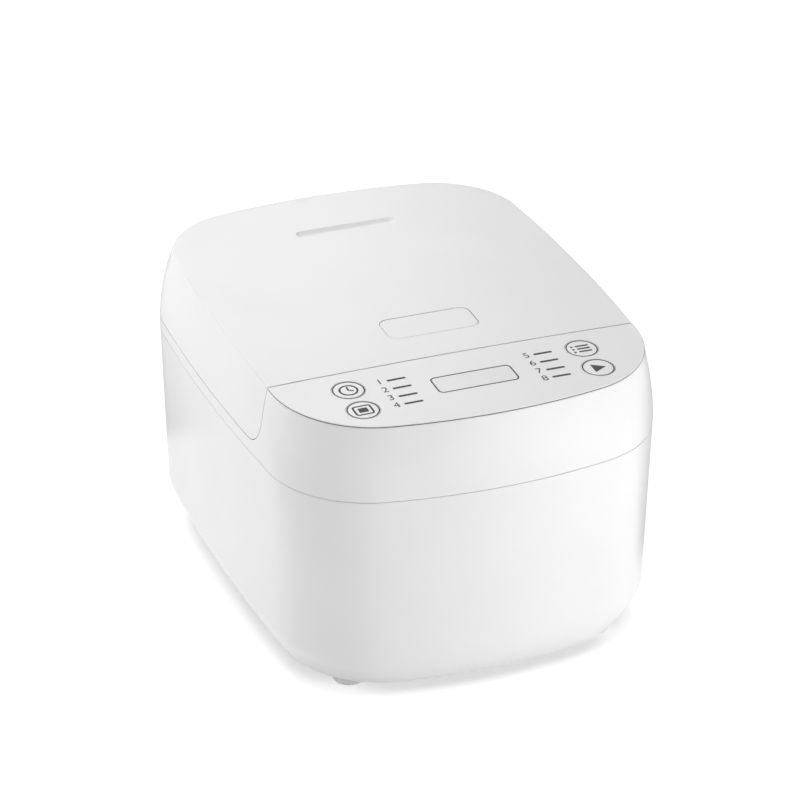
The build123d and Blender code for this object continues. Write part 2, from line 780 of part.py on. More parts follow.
with BuildPart() as inner_shield:
    with BuildSketch(Plane.XY.offset(shield_floor_z - shield_wall)):
        with Locations((0, pot_y)):
            Circle(shield_radius + shield_wall)
    extrude(amount=shield_top_z - shield_floor_z + shield_wall)
    with BuildSketch(Plane.XY.offset(shield_top_z - shield_wall)):
        with Locations((0, pot_y)):
            Circle(shield_radius + shield_flange_width)
    extrude(amount=shield_wall)
    with BuildSketch(Plane.XY.offset(shield_floor_z)):
        with Locations((0, pot_y)):
            Circle(shield_radius)
    extrude(amount=shield_top_z - shield_floor_z, mode=Mode.SUBTRACT)
    with BuildSketch(Plane.XY.offset(shield_floor_z - shield_wall)):
        with Locations((0, pot_y)):
            Circle(sensor_hole_radius)
    extrude(amount=shield_wall, mode=Mode.SUBTRACT)
finish(inner_shield, "inner_shield")

warmer_rise = 38.0
warmer_z = pot_bottom_z + warmer_rise
warmer_height = 34.0
warmer_thickness = 1.5
with BuildPart() as warmer_band:
    with BuildSketch(Plane.XY.offset(warmer_z)):
        with Locations((0, pot_y)):
            Circle(shield_radius + shield_wall + fit_gap + warmer_thickness)
            Circle(shield_radius + shield_wall + fit_gap, mode=Mode.SUBTRACT)
    extrude(amount=warmer_height)
finish(warmer_band, "warmer_band")

with BuildPart() as heating_plate:
    with BuildSketch(Plane.XY.offset(shield_floor_z)):
        with Locations((0, pot_y)):
            Circle(heater_radius)
            Circle(sensor_hole_radius, mode=Mode.SUBTRACT)
    extrude(amount=heater_thickness)
    fillet(heating_plate.edges().group_by(Axis.Z)[-1], 1.0)
    with BuildSketch(Plane.XY.offset(shield_floor_z + heater_thickness)):
        with Locations((0, pot_y)):
            Circle(heater_groove_radius + heater_groove_width / 2)
            Circle(heater_groove_radius - heater_groove_width / 2, mode=Mode.SUBTRACT)
    extrude(amount=-heater_groove_depth, mode=Mode.SUBTRACT)
finish(heating_plate, "heating_plate")

fuse_radius = 2.5
fuse_length = 26.0
fuse_offset = 50.0
fuse_y = pot_y - fuse_offset
with BuildPart() as thermal_fuse:
    with BuildSketch(Plane.YZ.offset(-fuse_length / 2)):
        with Locations((fuse_y, shield_floor_z - shield_wall - fuse_radius)):
            Circle(fuse_radius)
    extrude(amount=fuse_length)
finish(thermal_fuse, "thermal_fuse")

# Pot sensor: a sprung cap in the middle of the heater, in a cup under the shield
sensor_wall = 1.5
sensor_edge_radius = 0.8
sensor_cup_lift = 1.2
sensor_cup_flange = 7.0
sensor_cap_height = 9.0
sensor_cup_wall = 1.2
sensor_cup_floor_z = floor_z + base_thickness + sensor_cup_lift
sensor_top_z = pot_bottom_z - fit_gap
sensor_skirt_z = sensor_top_z - sensor_cap_height
sensor_spring_radius = 6.0
sensor_wire = 0.6

with BuildPart() as sensor_cap:
    with BuildSketch(Plane.XY.offset(sensor_skirt_z)):
        with Locations((0, pot_y)):
            Circle(sensor_radius)
    extrude(amount=sensor_cap_height)
    with BuildSketch(Plane.XY.offset(sensor_skirt_z)):
        with Locations((0, pot_y)):
            Circle(sensor_radius - sensor_wall)
    extrude(amount=sensor_cap_height - sensor_wall, mode=Mode.SUBTRACT)
    fillet(sensor_cap.edges().group_by(Axis.Z)[-1], sensor_edge_radius)
finish(sensor_cap, "sensor_cap")

with BuildPart() as sensor_cup:
    with BuildSketch(Plane.XY.offset(sensor_cup_floor_z)):
        with Locations((0, pot_y)):
            Circle(sensor_hole_radius + sensor_cup_wall)
    extrude(amount=shield_floor_z - shield_wall - sensor_cup_floor_z)
    with BuildSketch(Plane.XY.offset(sensor_cup_floor_z + sensor_cup_wall)):
        with Locations((0, pot_y)):
            Circle(sensor_hole_radius)
    extrude(amount=reach, mode=Mode.SUBTRACT)
    with BuildSketch(Plane.XY.offset(shield_floor_z - shield_wall - sensor_cup_wall)):
        with Locations((0, pot_y)):
            Circle(sensor_hole_radius + sensor_cup_flange)
            Circle(sensor_hole_radius, mode=Mode.SUBTRACT)
    extrude(amount=sensor_cup_wall)
finish(sensor_cup, "sensor_cup")


def coil(origin, axis, radius, wire, length, turns):
    """Round wire wound about axis from origin, one half turn after another."""
    plane = Plane(origin=origin, z_dir=axis)
    rise = (length - wire) / turns
    steps = [k / 4 for k in range(4 * turns + 1)]
    points = [
        plane.from_local_coords((radius * cos(2 * pi * t), radius * sin(2 * pi * t),
                                 wire / 2 + rise * t))
        for t in steps
    ]
    with BuildLine() as path:
        for k in range(0, len(points) - 2, 2):
            ThreePointArc(points[k], points[k + 1], points[k + 2])
    start = Plane(origin=points[0], z_dir=path.line % 0)
    with BuildSketch(start) as section:
        Circle(wire / 2)
    return section.sketch.face(), path.line


sensor_spring_turns = 5
sensor_spring_low = sensor_cup_floor_z + sensor_cup_wall
with BuildPart() as sensor_spring:
    wire_face, wire_path = coil((0, pot_y, sensor_spring_low), (0, 0, 1), sensor_spring_radius,
                                sensor_wire * 2, sensor_top_z - sensor_wall - sensor_spring_low,
                                sensor_spring_turns)
    sweep(wire_face, path=wire_path)
finish(sensor_spring, "sensor_spring")

# Space inside the lid cover, left open below for the liner
with BuildPart() as hinge_guard:
    with BuildSketch(Plane.YZ.offset(-hinge_cut_half - wall)):
        with Locations((hinge_y, hinge_z)):
            Circle(hinge_cut_radius + wall)
        with Locations((hinge_y + reach / 2 - hinge_cut_radius - wall, hinge_z - reach / 2)):
            Rectangle(reach, reach)
        with Locations((hinge_y + reach / 2, hinge_cut_top + wall - reach / 2)):
            Rectangle(reach, reach)
    extrude(amount=2 * (hinge_cut_half + wall))

with BuildPart() as hinge_notch:
    with BuildSketch(Plane.YZ.offset(-hinge_cut_half)):
        with Locations((hinge_y, hinge_z)):
            Circle(hinge_cut_radius)
        with Locations((hinge_y + reach / 2 - hinge_cut_radius, hinge_z - reach / 2)):
            Rectangle(reach, reach)
        with Locations((hinge_y + reach / 2, hinge_cut_top - reach / 2)):
            Rectangle(reach, reach)
    extrude(amount=2 * hinge_cut_half)

lip_end_y = fold_y + lid_front_lean + lid_corner_radius


def lid_slab(top, bottom):
    """Crowned slab across the lid at its fold, to be turned about the arch's axis."""
    return crown_profile(arch_section, top, bottom)


with BuildPart() as lid_mouth:
    loft(upper_plans(lid_bottom_z - wall, wall))
    with BuildSketch(Plane.XY.offset(lid_bottom_z - wall)):
        with Locations((0, lip_end_y + reach / 2)):
            Rectangle(reach, reach)
    extrude(amount=3 * wall, mode=Mode.INTERSECT)

with BuildPart() as lid_core:
    loft(upper_plans(lid_bottom_z - wall, wall))
    extrude(lid_side_profile(wall), amount=reach, both=True, mode=Mode.INTERSECT)
    add(lid_mouth.part)
    revolve(lid_slab(-wall, -reach / 4), axis=arch_axis, revolution_arc=arch_sweep,
            mode=Mode.INTERSECT)
    add(hinge_guard.part, mode=Mode.SUBTRACT)

# Lid cover: crowned shell with the button's opening, the steam trough and the hinge barrel
button_width = 59.0
button_depth = 25.4
button_offset = 38.1
button_y = fold_y + button_offset
button_corner = 6.5
button_travel = 3.0
button_skirt = 8.0
button_wall = 2.0
button_flange = 1.5
slot_length = 68.0
slot_width = 9.0
slot_inset = 66.2
slot_y = half_depth - slot_inset
slot_depth = 2.0
slot_radius = slot_width**2 / (8 * slot_depth) + slot_depth / 2
slit_length = 56.0
slit_width = 2.2
slit_offset = 3.0
slit_y = slot_y - slit_offset
boss_radius = 4.0
boss_bite = 1.04
boss_sink = wall - boss_bite
lid_boss_inset = 27.0
lid_boss_front = 29.4
lid_boss_back = 51.5
lid_boss_x = half_width - lid_boss_inset
lid_boss_places = [
    (x, y) for x in (-lid_boss_x, lid_boss_x)
    for y in (lip_end_y + lid_boss_front, hinge_y - lid_boss_back)
]
liner_thickness = 2.4
liner_top_z = lid_bottom_z + liner_thickness
slot_z = lid_top_z(slot_y)
button_z = lid_top_z(button_y)

with BuildPart() as lid_cover:
    loft(upper_plans(lid_bottom_z - wall))
    extrude(lid_side_profile(0), amount=reach, both=True, mode=Mode.INTERSECT)
    revolve(lid_slab(0, -reach / 4), axis=arch_axis, revolution_arc=arch_sweep,
            mode=Mode.INTERSECT)
    crown_edges = lid_cover.faces().sort_by(Axis.Z)[-1].edges()
    fillet(crown_edges.sort_by(Axis.Y)[1:], lid_crease_radius)
    add(lid_core.part, mode=Mode.SUBTRACT)
    add(hinge_notch.part, mode=Mode.SUBTRACT)
    for x, y in lid_boss_places:
        with BuildSketch(Plane.XY.offset(liner_top_z)):
            with Locations((x, y)):
                Circle(boss_radius)
        extrude(amount=lid_top_z(y) - crown_sag(x) - boss_sink - liner_top_z)
    with BuildSketch(Plane.XY.offset(liner_top_z)):
        with Locations(lid_boss_places):
            Circle(screw_radius + screw_gap)
    extrude(amount=4 * wall, mode=Mode.SUBTRACT)
    with BuildSketch(Plane.XY.offset(button_z - 4 * wall)):
        with Locations((0, button_y)):
            RectangleRounded(button_width, button_depth, button_corner)
    extrude(amount=reach / 8, mode=Mode.SUBTRACT)
    with Locations((0, slot_y, slot_z - slot_depth + slot_radius)):
        Cylinder(slot_radius, slot_length - slot_width, rotation=(0, 90, 0), mode=Mode.SUBTRACT)
        with GridLocations(slot_length - slot_width, 0, 2, 1):
            Sphere(slot_radius, mode=Mode.SUBTRACT)
    with BuildSketch(Plane.XY.offset(slot_z - 2 * wall)):
        with Locations((0, slit_y)):
            SlotOverall(slit_length, slit_width)
    extrude(amount=reach / 8, mode=Mode.SUBTRACT)
    with BuildSketch(Plane.XY.offset(latch_z - hook_gap)):
        with Locations((0, fold_y)):
            Rectangle(2 * (hook_half + hook_gap), 6 * wall)
    extrude(amount=hook_thickness + 2 * hook_gap, mode=Mode.SUBTRACT)
    with BuildSketch(Plane.YZ.offset(-hinge_barrel_half)):
        with Locations((hinge_y, hinge_z)):
            Circle(hinge_radius)
        with Locations((hinge_y, hinge_z + (hinge_cut_radius + wall) / 2)):
            Rectangle(hinge_radius, hinge_cut_radius + wall)
    extrude(amount=2 * hinge_barrel_half)
    with BuildSketch(Plane.YZ.offset(-hinge_barrel_half)):
        with Locations((hinge_y, hinge_z)):
            Circle(hinge_pin_radius + pin_gap)
    extrude(amount=2 * hinge_barrel_half, mode=Mode.SUBTRACT)
finish(lid_cover, "lid_cover")

# Hinge pin, and the two wound springs beside the barrel that lift the lid
with BuildPart() as hinge_pin:
    with BuildSketch(Plane.YZ.offset(-hinge_ear_end)):
        with Locations((hinge_y, hinge_z)):
            Circle(hinge_pin_radius)
    extrude(amount=2 * hinge_ear_end)
finish(hinge_pin, "hinge_pin")

hinge_wire = 1.3
hinge_spring_radius = hinge_pin_radius + fit_gap + hinge_wire / 2
hinge_spring_turns = 5
spring_start = hinge_barrel_half + hinge_side_gap
for side, spring_name in ((-1, "hinge_spring_left"), (1, "hinge_spring_right")):
    with BuildPart() as hinge_spring:
        wire_face, wire_path = coil((side * spring_start, hinge_y, hinge_z), (side, 0, 0),
                                    hinge_spring_radius, hinge_wire, hinge_spring_length,
                                    hinge_spring_turns)
        sweep(wire_face, path=wire_path)
    finish(hinge_spring, spring_name)

# Lid liner: the underside, with a round pocket for the inner plate
liner_back_y = hinge_y - hinge_cut_radius - wall - fit_gap
valve_radius = 15.0
valve_y = slot_y
rail_half = hook_half + fit_gap
stop_offset = 32.3
stop_y = button_y + stop_offset
stop_thickness = 4.0
latch_spring_rise = 4.5
latch_spring_z = latch_z + hook_thickness + latch_spring_rise
guide_radius = 2.2
button_spring_x = 23.0
button_spring_offset = 5.0
button_spring_y = button_y - button_spring_offset

with BuildPart() as lid_liner:
    loft(upper_plans(lid_bottom_z, wall + fit_gap))
    with BuildSketch(Plane.XY.offset(lid_bottom_z)):
        with Locations((0, (lip_end_y + fit_gap + liner_back_y) / 2)):
            Rectangle(reach, liner_back_y - lip_end_y - fit_gap)
    extrude(amount=liner_thickness, mode=Mode.INTERSECT)
    with BuildSketch(Plane.XY.offset(lid_bottom_z)):
        with Locations((0, pot_y)):
            Circle(pocket_radius + pocket_wall)
    extrude(amount=pocket_height + pocket_wall)
    with BuildSketch(Plane.XY.offset(lid_bottom_z)):
        with Locations((0, pot_y)):
            Circle(pocket_radius)
    extrude(amount=pocket_height, mode=Mode.SUBTRACT)
    with BuildSketch(Plane.XY.offset(ceiling_z)):
        with Locations((0, valve_y)):
            Circle(valve_radius + fit_gap)
    extrude(amount=pocket_wall, mode=Mode.SUBTRACT)
    with BuildSketch(Plane.XY.offset(lid_bottom_z)):
        with Locations(lid_boss_places):
            Circle(screw_radius + screw_gap)
    extrude(amount=liner_thickness, mode=Mode.SUBTRACT)
    for side in (-1, 1):
        with BuildSketch(Plane.XY.offset(ceiling_top_z)):
            with Locations((side * (rail_half + pocket_wall / 2), button_y + button_depth / 2)):
                Rectangle(pocket_wall, button_depth)
        extrude(amount=hook_thickness)
        with BuildSketch(Plane.XY.offset(ceiling_top_z)):
            with Locations((side * button_spring_x, button_spring_y)):
                Circle(guide_radius)
        extrude(amount=hook_thickness * 2)
    with BuildSketch(Plane.XY.offset(ceiling_top_z)):
        with Locations((0, stop_y + stop_thickness / 2)):
            Rectangle(2 * guide_radius * 3, stop_thickness)
    extrude(amount=latch_spring_z + 2 * guide_radius - ceiling_top_z)
finish(lid_liner, "lid_liner")

with BuildPart() as lid_screws:
    with BuildSketch(Plane.XY.offset(lid_bottom_z)):
        with Locations(lid_boss_places):
            Circle(screw_radius)
    extrude(amount=liner_thickness + 3 * wall)
    with BuildSketch(Plane.XY.offset(lid_bottom_z)):
        with Locations(lid_boss_places):
            Circle(screw_head_radius)
    extrude(amount=-lid_gap / 2)
finish(lid_screws, "lid_screws")

# Inner lid plate with its rim seal, held by a knob on the liner's ceiling
plate_thickness = 1.2
plate_radius = pocket_radius - pocket_gap
plate_z = ceiling_z - plate_thickness - fit_gap
seal_width = 4.0
seal_z = pot_rim_z + fit_gap
knob_radius = 9.0
knob_height = 5.0
knob_post_radius = 3.0
hole_radius = 3.0
hole_count = 6

with BuildPart() as inner_lid_plate:
    with BuildSketch(Plane.XY.offset(plate_z)):
        with Locations((0, pot_y)):
            Circle(plate_radius)
            Circle(knob_post_radius + fit_gap, mode=Mode.SUBTRACT)
        with Locations((0, valve_y)):
            with PolarLocations(valve_radius / 2, hole_count):
                Circle(hole_radius, mode=Mode.SUBTRACT)
    extrude(amount=plate_thickness)
    with BuildSketch(Plane.XY.offset(plate_z - wall)):
        with Locations((0, pot_y)):
            Circle(plate_radius)
            Circle(plate_radius - plate_thickness, mode=Mode.SUBTRACT)
    extrude(amount=wall)
finish(inner_lid_plate, "inner_lid_plate")

with BuildPart() as pot_seal:
    with BuildSketch(Plane.XY.offset(plate_z)):
        with Locations((0, pot_y)):
            Circle(plate_radius - plate_thickness - screw_gap)
            Circle(plate_radius - plate_thickness - seal_width, mode=Mode.SUBTRACT)
    extrude(amount=seal_z - plate_z)
    fillet(pot_seal.edges().group_by(Axis.Z)[0], seal_width / 4)
finish(pot_seal, "pot_seal")

with BuildPart() as plate_knob:
    with BuildSketch(Plane.XY.offset(plate_z - knob_height)):
        with Locations((0, pot_y)):
            Circle(knob_radius)
    extrude(amount=knob_height)
    fillet(plate_knob.edges().group_by(Axis.Z)[0], soft_edge_radius)
    with BuildSketch(Plane.XY.offset(plate_z)):
        with Locations((0, pot_y)):
            Circle(knob_post_radius)
    extrude(amount=ceiling_z - plate_z)
finish(plate_knob, "plate_knob")

# Steam path: a valve cup through the liner, and a duct up to the slit in the trough
valve_wall = 1.6
valve_rim = 3.0
valve_low_z = plate_z + plate_thickness + fit_gap / 2
duct_floor_z = ceiling_top_z
duct_half = slit_length / 2 + 2 * valve_wall
duct_depth = 2 * (valve_radius + valve_rim + valve_wall)
duct_top_z = lid_top_z(valve_y - duct_depth / 2) - crown_sag(duct_half) - wall - fit_gap

with BuildPart() as steam_valve:
    with BuildSketch(Plane.XY.offset(valve_low_z)):
        with Locations((0, valve_y)):
            Circle(valve_radius)
    extrude(amount=ceiling_top_z + valve_rim - valve_low_z)
    with BuildSketch(Plane.XY.offset(ceiling_top_z)):
        with Locations((0, valve_y)):
            Circle(valve_radius + valve_rim - valve_wall)
    extrude(amount=valve_rim)
    with BuildSketch(Plane.XY.offset(valve_low_z + valve_wall)):
        with Locations((0, valve_y)):
            Circle(valve_radius - valve_wall)
    extrude(amount=reach / 8, mode=Mode.SUBTRACT)
    with BuildSketch(Plane.XY.offset(valve_low_z)):
        with Locations((0, valve_y)):
            with PolarLocations(valve_radius / 2, hole_count):
                Circle(hole_radius)
    extrude(amount=valve_wall, mode=Mode.SUBTRACT)
finish(steam_valve, "steam_valve")

with BuildPart() as steam_duct:
    with BuildSketch(Plane.XY.offset(duct_floor_z)):
        with Locations((0, valve_y)):
            RectangleRounded(2 * duct_half, duct_depth, valve_radius)
    extrude(amount=duct_top_z - duct_floor_z)
    with BuildSketch(Plane.XY.offset(duct_floor_z)):
        with Locations((0, valve_y)):
            RectangleRounded(2 * (duct_half - valve_wall), duct_depth - 2 * valve_wall,
                             valve_radius - valve_wall)
    extrude(amount=duct_top_z - duct_floor_z - valve_wall, mode=Mode.SUBTRACT)
    with BuildSketch(Plane.XY.offset(duct_floor_z)):
        with Locations((0, slit_y)):
            SlotOverall(slit_length, slit_width)
    extrude(amount=reach / 8, mode=Mode.SUBTRACT)
finish(steam_duct, "steam_duct")

# Temperature sensor in the lid, on the liner's ceiling
lid_sensor_radius = 8.0
lid_sensor_height = 6.0
with BuildPart() as lid_sensor:
    with BuildSketch(Plane.XY.offset(ceiling_top_z)):
        with Locations((0, pot_y)):
            Circle(lid_sensor_radius)
    extrude(amount=lid_sensor_height)
    fillet(lid_sensor.edges().group_by(Axis.Z)[-1], soft_edge_radius)
finish(lid_sensor, "lid_sensor")

# Open button: a flush cap with a skirt, a holding flange and two wedged legs
cap_gap = 0.4
leg_x = 12.0
leg_half = 3.0
leg_depth = 8.0
leg_offset = 3.0
leg_clearance = 1.5
leg_y = button_y - leg_depth / 2 - leg_offset
leg_low_z = latch_z + hook_thickness + button_travel + leg_clearance
wedge_gap = 0.25
skirt_z = button_z - wall - crown_sag(button_width / 2) - button_skirt

with BuildPart() as open_button:
    with BuildSketch(Plane.XY.offset(skirt_z)):
        with Locations((0, button_y)):
            RectangleRounded(button_width - 2 * cap_gap, button_depth - 2 * cap_gap,
                             button_corner - cap_gap)
    extrude(amount=reach / 8)
    revolve(lid_slab(0, -reach / 4), axis=arch_axis, revolution_arc=arch_sweep,
            mode=Mode.INTERSECT)
    fillet(open_button.faces().sort_by(Axis.Z)[-1].edges(), cap_edge_radius)
    with BuildSketch(Plane.XY.offset(skirt_z)):
        with Locations((0, button_y)):
            RectangleRounded(button_width - 2 * cap_gap - 2 * button_wall,
                             button_depth - 2 * cap_gap - 2 * button_wall,
                             button_corner - cap_gap - button_wall)
    extrude(amount=button_skirt, mode=Mode.SUBTRACT)
    with BuildSketch(Plane.XY.offset(skirt_z)):
        with Locations((0, button_y)):
            RectangleRounded(button_width + 2 * button_flange, button_depth + 2 * button_flange,
                             button_corner)
            RectangleRounded(button_width - 2 * cap_gap - 2 * button_wall,
                             button_depth - 2 * cap_gap - 2 * button_wall,
                             button_corner - cap_gap - button_wall, mode=Mode.SUBTRACT)
    extrude(amount=button_wall)
    for side in (-1, 1):
        with BuildSketch(Plane.YZ.offset(side * leg_x - leg_half)):
            with BuildLine():
                Polyline(
                    (leg_y, leg_low_z),
                    (leg_y + leg_depth, leg_low_z + leg_depth),
                    (leg_y + leg_depth, skirt_z + button_skirt + wall / 2),
                    (leg_y, skirt_z + button_skirt + wall / 2),
                    close=True,
                )
            make_face()
        extrude(amount=2 * leg_half)
finish(open_button, "open_button")

# Latch: a plate on the liner with a hook through both walls and two ramps for the legs
latch_spring_length = 12.0
latch_back_y = stop_y - latch_spring_length
ramp_gap = wedge_gap * sqrt(2)
ramp_y = leg_y + 2.0
tab_thickness = 3.0

with BuildPart() as latch:
    with BuildSketch(Plane.XY.offset(latch_z)):
        with Locations((0, (fold_y - hook_reach + latch_back_y) / 2)):
            Rectangle(2 * hook_half, latch_back_y - fold_y + hook_reach)
    extrude(amount=hook_thickness)
    for side in (-1, 1):
        with BuildSketch(Plane.YZ.offset(side * leg_x - leg_half)):
            with BuildLine():
                Polyline(
                    (ramp_y, latch_z),
                    (ramp_y, leg_low_z + ramp_y - leg_y - ramp_gap),
                    (leg_y + leg_depth, leg_low_z + leg_depth - ramp_gap),
                    (leg_y + 2 * leg_depth, leg_low_z + leg_depth - ramp_gap),
                    (leg_y + 2 * leg_depth, latch_z),
                    close=True,
                )
            make_face()
        extrude(amount=2 * leg_half)
    with BuildSketch(Plane.XY.offset(latch_z)):
        with Locations((0, latch_back_y - tab_thickness / 2)):
            Rectangle(4 * guide_radius, tab_thickness)
    extrude(amount=latch_spring_z + 2 * guide_radius - latch_z)
finish(latch, "latch")

latch_spring_radius = 3.0
latch_wire = 0.8
latch_spring_turns = 6
with BuildPart() as latch_spring:
    wire_face, wire_path = coil((0, latch_back_y, latch_spring_z), (0, 1, 0), latch_spring_radius,
                                latch_wire, stop_y - latch_back_y, latch_spring_turns)
    sweep(wire_face, path=wire_path)
finish(latch_spring, "latch_spring")

button_wire = 0.8
button_spring_radius = guide_radius + fit_gap + button_wire / 2
button_spring_turns = 9
for side, spring_name in ((-1, "button_spring_left"), (1, "button_spring_right")):
    with BuildPart() as button_spring:
        wire_face, wire_path = coil(
            (side * button_spring_x, button_spring_y, ceiling_top_z), (0, 0, 1),
            button_spring_radius, button_wire, skirt_z + button_skirt - ceiling_top_z,
            button_spring_turns)
        sweep(wire_face, path=wire_path)
    finish(button_spring, spring_name)
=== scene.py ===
# %% [markdown]
# # A white rice cooker, dressed for its photograph
# The imported CAD model is the frame of this scene: every node already has its size, its
# place and the body it moves with. Blender adds what a solid can't show: soft plastic,
# seams, printed marks, coated metal and studio light.

# %% Load the frame
import json
from math import cos, radians, sin, tau

import bmesh
import bpy
from mathutils import Matrix, Vector
from mathutils.bvhtree import BVHTree


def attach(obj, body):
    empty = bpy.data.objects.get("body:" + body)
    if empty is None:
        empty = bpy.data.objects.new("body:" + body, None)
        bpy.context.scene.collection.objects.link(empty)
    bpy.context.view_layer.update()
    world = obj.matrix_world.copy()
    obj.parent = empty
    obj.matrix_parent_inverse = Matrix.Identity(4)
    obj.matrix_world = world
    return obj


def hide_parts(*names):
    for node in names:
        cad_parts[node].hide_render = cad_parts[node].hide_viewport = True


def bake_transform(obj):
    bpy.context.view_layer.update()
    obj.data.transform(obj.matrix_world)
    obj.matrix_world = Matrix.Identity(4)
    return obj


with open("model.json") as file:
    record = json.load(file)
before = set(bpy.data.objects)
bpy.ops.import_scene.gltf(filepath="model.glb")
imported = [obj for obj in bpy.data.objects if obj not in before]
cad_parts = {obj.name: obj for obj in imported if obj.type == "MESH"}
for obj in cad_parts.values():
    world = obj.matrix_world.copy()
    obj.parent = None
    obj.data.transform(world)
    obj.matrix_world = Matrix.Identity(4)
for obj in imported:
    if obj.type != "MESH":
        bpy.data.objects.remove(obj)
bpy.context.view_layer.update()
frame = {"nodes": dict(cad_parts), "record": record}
MM = 0.001


def extent(node, axis):
    """Least and greatest coordinate of a CAD node along axis 0, 1 or 2, in metres."""
    values = [v.co[axis] for v in frame["nodes"][node].data.vertices]
    return min(values), max(values)


# %% [markdown]
# ## Colours and nodes
# A maker gives a colour as a hex code in sRGB, the space a screen uses. Cycles works with
# linear light, so each code goes through one function. One more function adds any shader
# or geometry node, sets its values and draws its links, so that a material reads as a
# short list of steps. Two others start a material and turn a real size into a pattern's scale.

# %% Helpers for colours and nodes


def linear(code):
    """sRGB hex code to the linear colour that Cycles works with."""
    parts = [int(code[k:k + 2], 16) / 255 for k in (1, 3, 5)]
    return [c / 12.92 if c <= 0.04045 else ((c + 0.055) / 1.055) ** 2.4 for c in parts] + [1.0]


def add_node(tree, kind, links=None, settings=None, stops=(), **values):
    """Add a node: its own options, its (place, hex colour) stops, then input values and links."""
    node = tree.nodes.new(kind)
    for name, value in (settings or {}).items():
        setattr(node, name, value)
    for _ in stops[2:]:
        node.color_ramp.elements.new(0.5)
    for k, (at, code) in enumerate(stops):
        node.color_ramp.elements[k].position = at
        node.color_ramp.elements[k].color = linear(code)
    for name, value in values.items():
        node.inputs[name.replace("_", " ")].default_value = value
    for name, source in (links or {}).items():
        tree.links.new(source, node.inputs[name])
    return node


def new_material(name):
    """An empty material: its tree, its main shader and its Object coordinates."""
    material = bpy.data.materials.new(name)
    material.use_nodes = True
    tree = material.node_tree
    tree.nodes.clear()
    shader = add_node(tree, "ShaderNodeBsdfPrincipled")
    add_node(tree, "ShaderNodeOutputMaterial", {"Surface": shader.outputs["BSDF"]})
    place = add_node(tree, "ShaderNodeTexCoord").outputs["Object"]
    return material, tree, shader, place


def waves_per_metre(size_mm):
    """Texture scale whose features are about size_mm across, on metre coordinates."""
    return 1000.0 / size_mm


print("white of the shell in linear light", [round(c, 3) for c in linear("#F1F1F0")[:3]])

# %% [markdown]
# ## Camera
# The photograph was taken with a long lens from the front, a little to the left and above.
# The numbers come from fitting the object's corners and seams in the picture: a camera about
# 2.2 m away whose lens is 159 mm on a 36 mm sensor. A real camera rarely points at the exact
# middle of its picture, so a small shift puts the lens axis where the fit found it.

# %% Camera at the photograph's angle
aim = Vector((-8.694, 6.94, 108.454)) * MM
azimuth = radians(-21.57)
elevation = radians(27.389)
distance = 2216.77 * MM
picture_side_px = 800
focal_length_px = 3540.8
lens_axis_x_px = 384.44
lens_axis_y_px = 410.91
sensor_width_mm = 36.0
camera_data = bpy.data.cameras.new("photo_camera")
camera = bpy.data.objects.new("photo_camera", camera_data)
bpy.context.collection.objects.link(camera)
away = Vector((sin(azimuth) * cos(elevation), -cos(azimuth) * cos(elevation), sin(elevation)))
camera.location = aim + away * distance
camera.rotation_euler = (-away).to_track_quat("-Z", "Y").to_euler()
camera_data.sensor_width = sensor_width_mm
camera_data.lens = focal_length_px * sensor_width_mm / picture_side_px
camera_data.shift_x = (picture_side_px / 2 - lens_axis_x_px) / picture_side_px
camera_data.shift_y = (lens_axis_y_px - picture_side_px / 2) / picture_side_px
camera_data.clip_end = 20.0
bpy.context.scene.camera = camera
bpy.context.scene.view_settings.view_transform = "Standard"
print("camera", [round(c, 3) for c in camera.location], "lens", round(camera_data.lens, 1))

# %% [markdown]
# ## Studio
# White goods are lit by large soft boxes, because a glossy white surface only shows its form
# through slow gradients. A box on each side leaves the near corner between them darker, and
# that is what draws the rounded corner in the photograph. The two low boxes show no mirror image,
# which would blank the flat lid in a view from the far side. The floor and the world are white
# to the camera and to reflections only, so the background adds no glare to the object. Two dark
# cards behind it show in grazing reflections alone and draw the rims against the white.

# %% Lamps
cooker_middle = Vector((0.0, 0.0, 0.1))


def soft_box(name, position, width, height, power, mirrored=True):
    """A rectangular lamp that faces the cooker, with or without its own mirror image."""
    lamp = bpy.data.lights.new(name, "AREA")
    lamp.shape = "RECTANGLE"
    lamp.size = width
    lamp.size_y = height
    lamp.energy = power
    box = bpy.data.objects.new(name, lamp)
    bpy.context.collection.objects.link(box)
    box.location = position
    box.rotation_euler = (cooker_middle - Vector(position)).to_track_quat("-Z", "Y").to_euler()
    box.visible_glossy = mirrored


soft_box("box_left", (-1.28, 0.22, 0.37), width=0.9, height=0.9, power=7.2, mirrored=False)
soft_box("box_front_right", (0.43, -0.79, 0.165), width=0.6, height=0.3, power=3.55, mirrored=False)
soft_box("box_over", (0.0, -0.25, 1.94), width=1.6, height=1.6, power=17.0)
soft_box("box_back", (0.0, 1.379, 1.257), width=1.4, height=1.4, power=9.6)

# %% World


def background_rays(tree):
    """1 for the rays that look at the background straight, mirrored or through glass, else 0."""
    rays = add_node(tree, "ShaderNodeLightPath").outputs
    mirrored = add_node(tree, "ShaderNodeMath", {0: rays["Is Camera Ray"], 1: rays["Is Glossy Ray"]},
                        {"operation": "MAXIMUM"}).outputs[0]
    return add_node(tree, "ShaderNodeMath", {0: mirrored, 1: rays["Is Transmission Ray"]},
                    {"operation": "MAXIMUM"}).outputs[0]


world = bpy.data.worlds.new("white_studio")
world.use_nodes = True
world_tree = world.node_tree
world_tree.nodes.clear()
level = add_node(world_tree, "ShaderNodeMapRange", {"Value": background_rays(world_tree)},
                 To_Min=0.12, To_Max=1.0)
backdrop = add_node(world_tree, "ShaderNodeBackground", {"Strength": level.outputs["Result"]},
                    Color=linear("#FFFFFF"))
add_node(world_tree, "ShaderNodeOutputWorld", {"Surface": backdrop.outputs["Background"]})
bpy.context.scene.world = world
print("world", world.name)

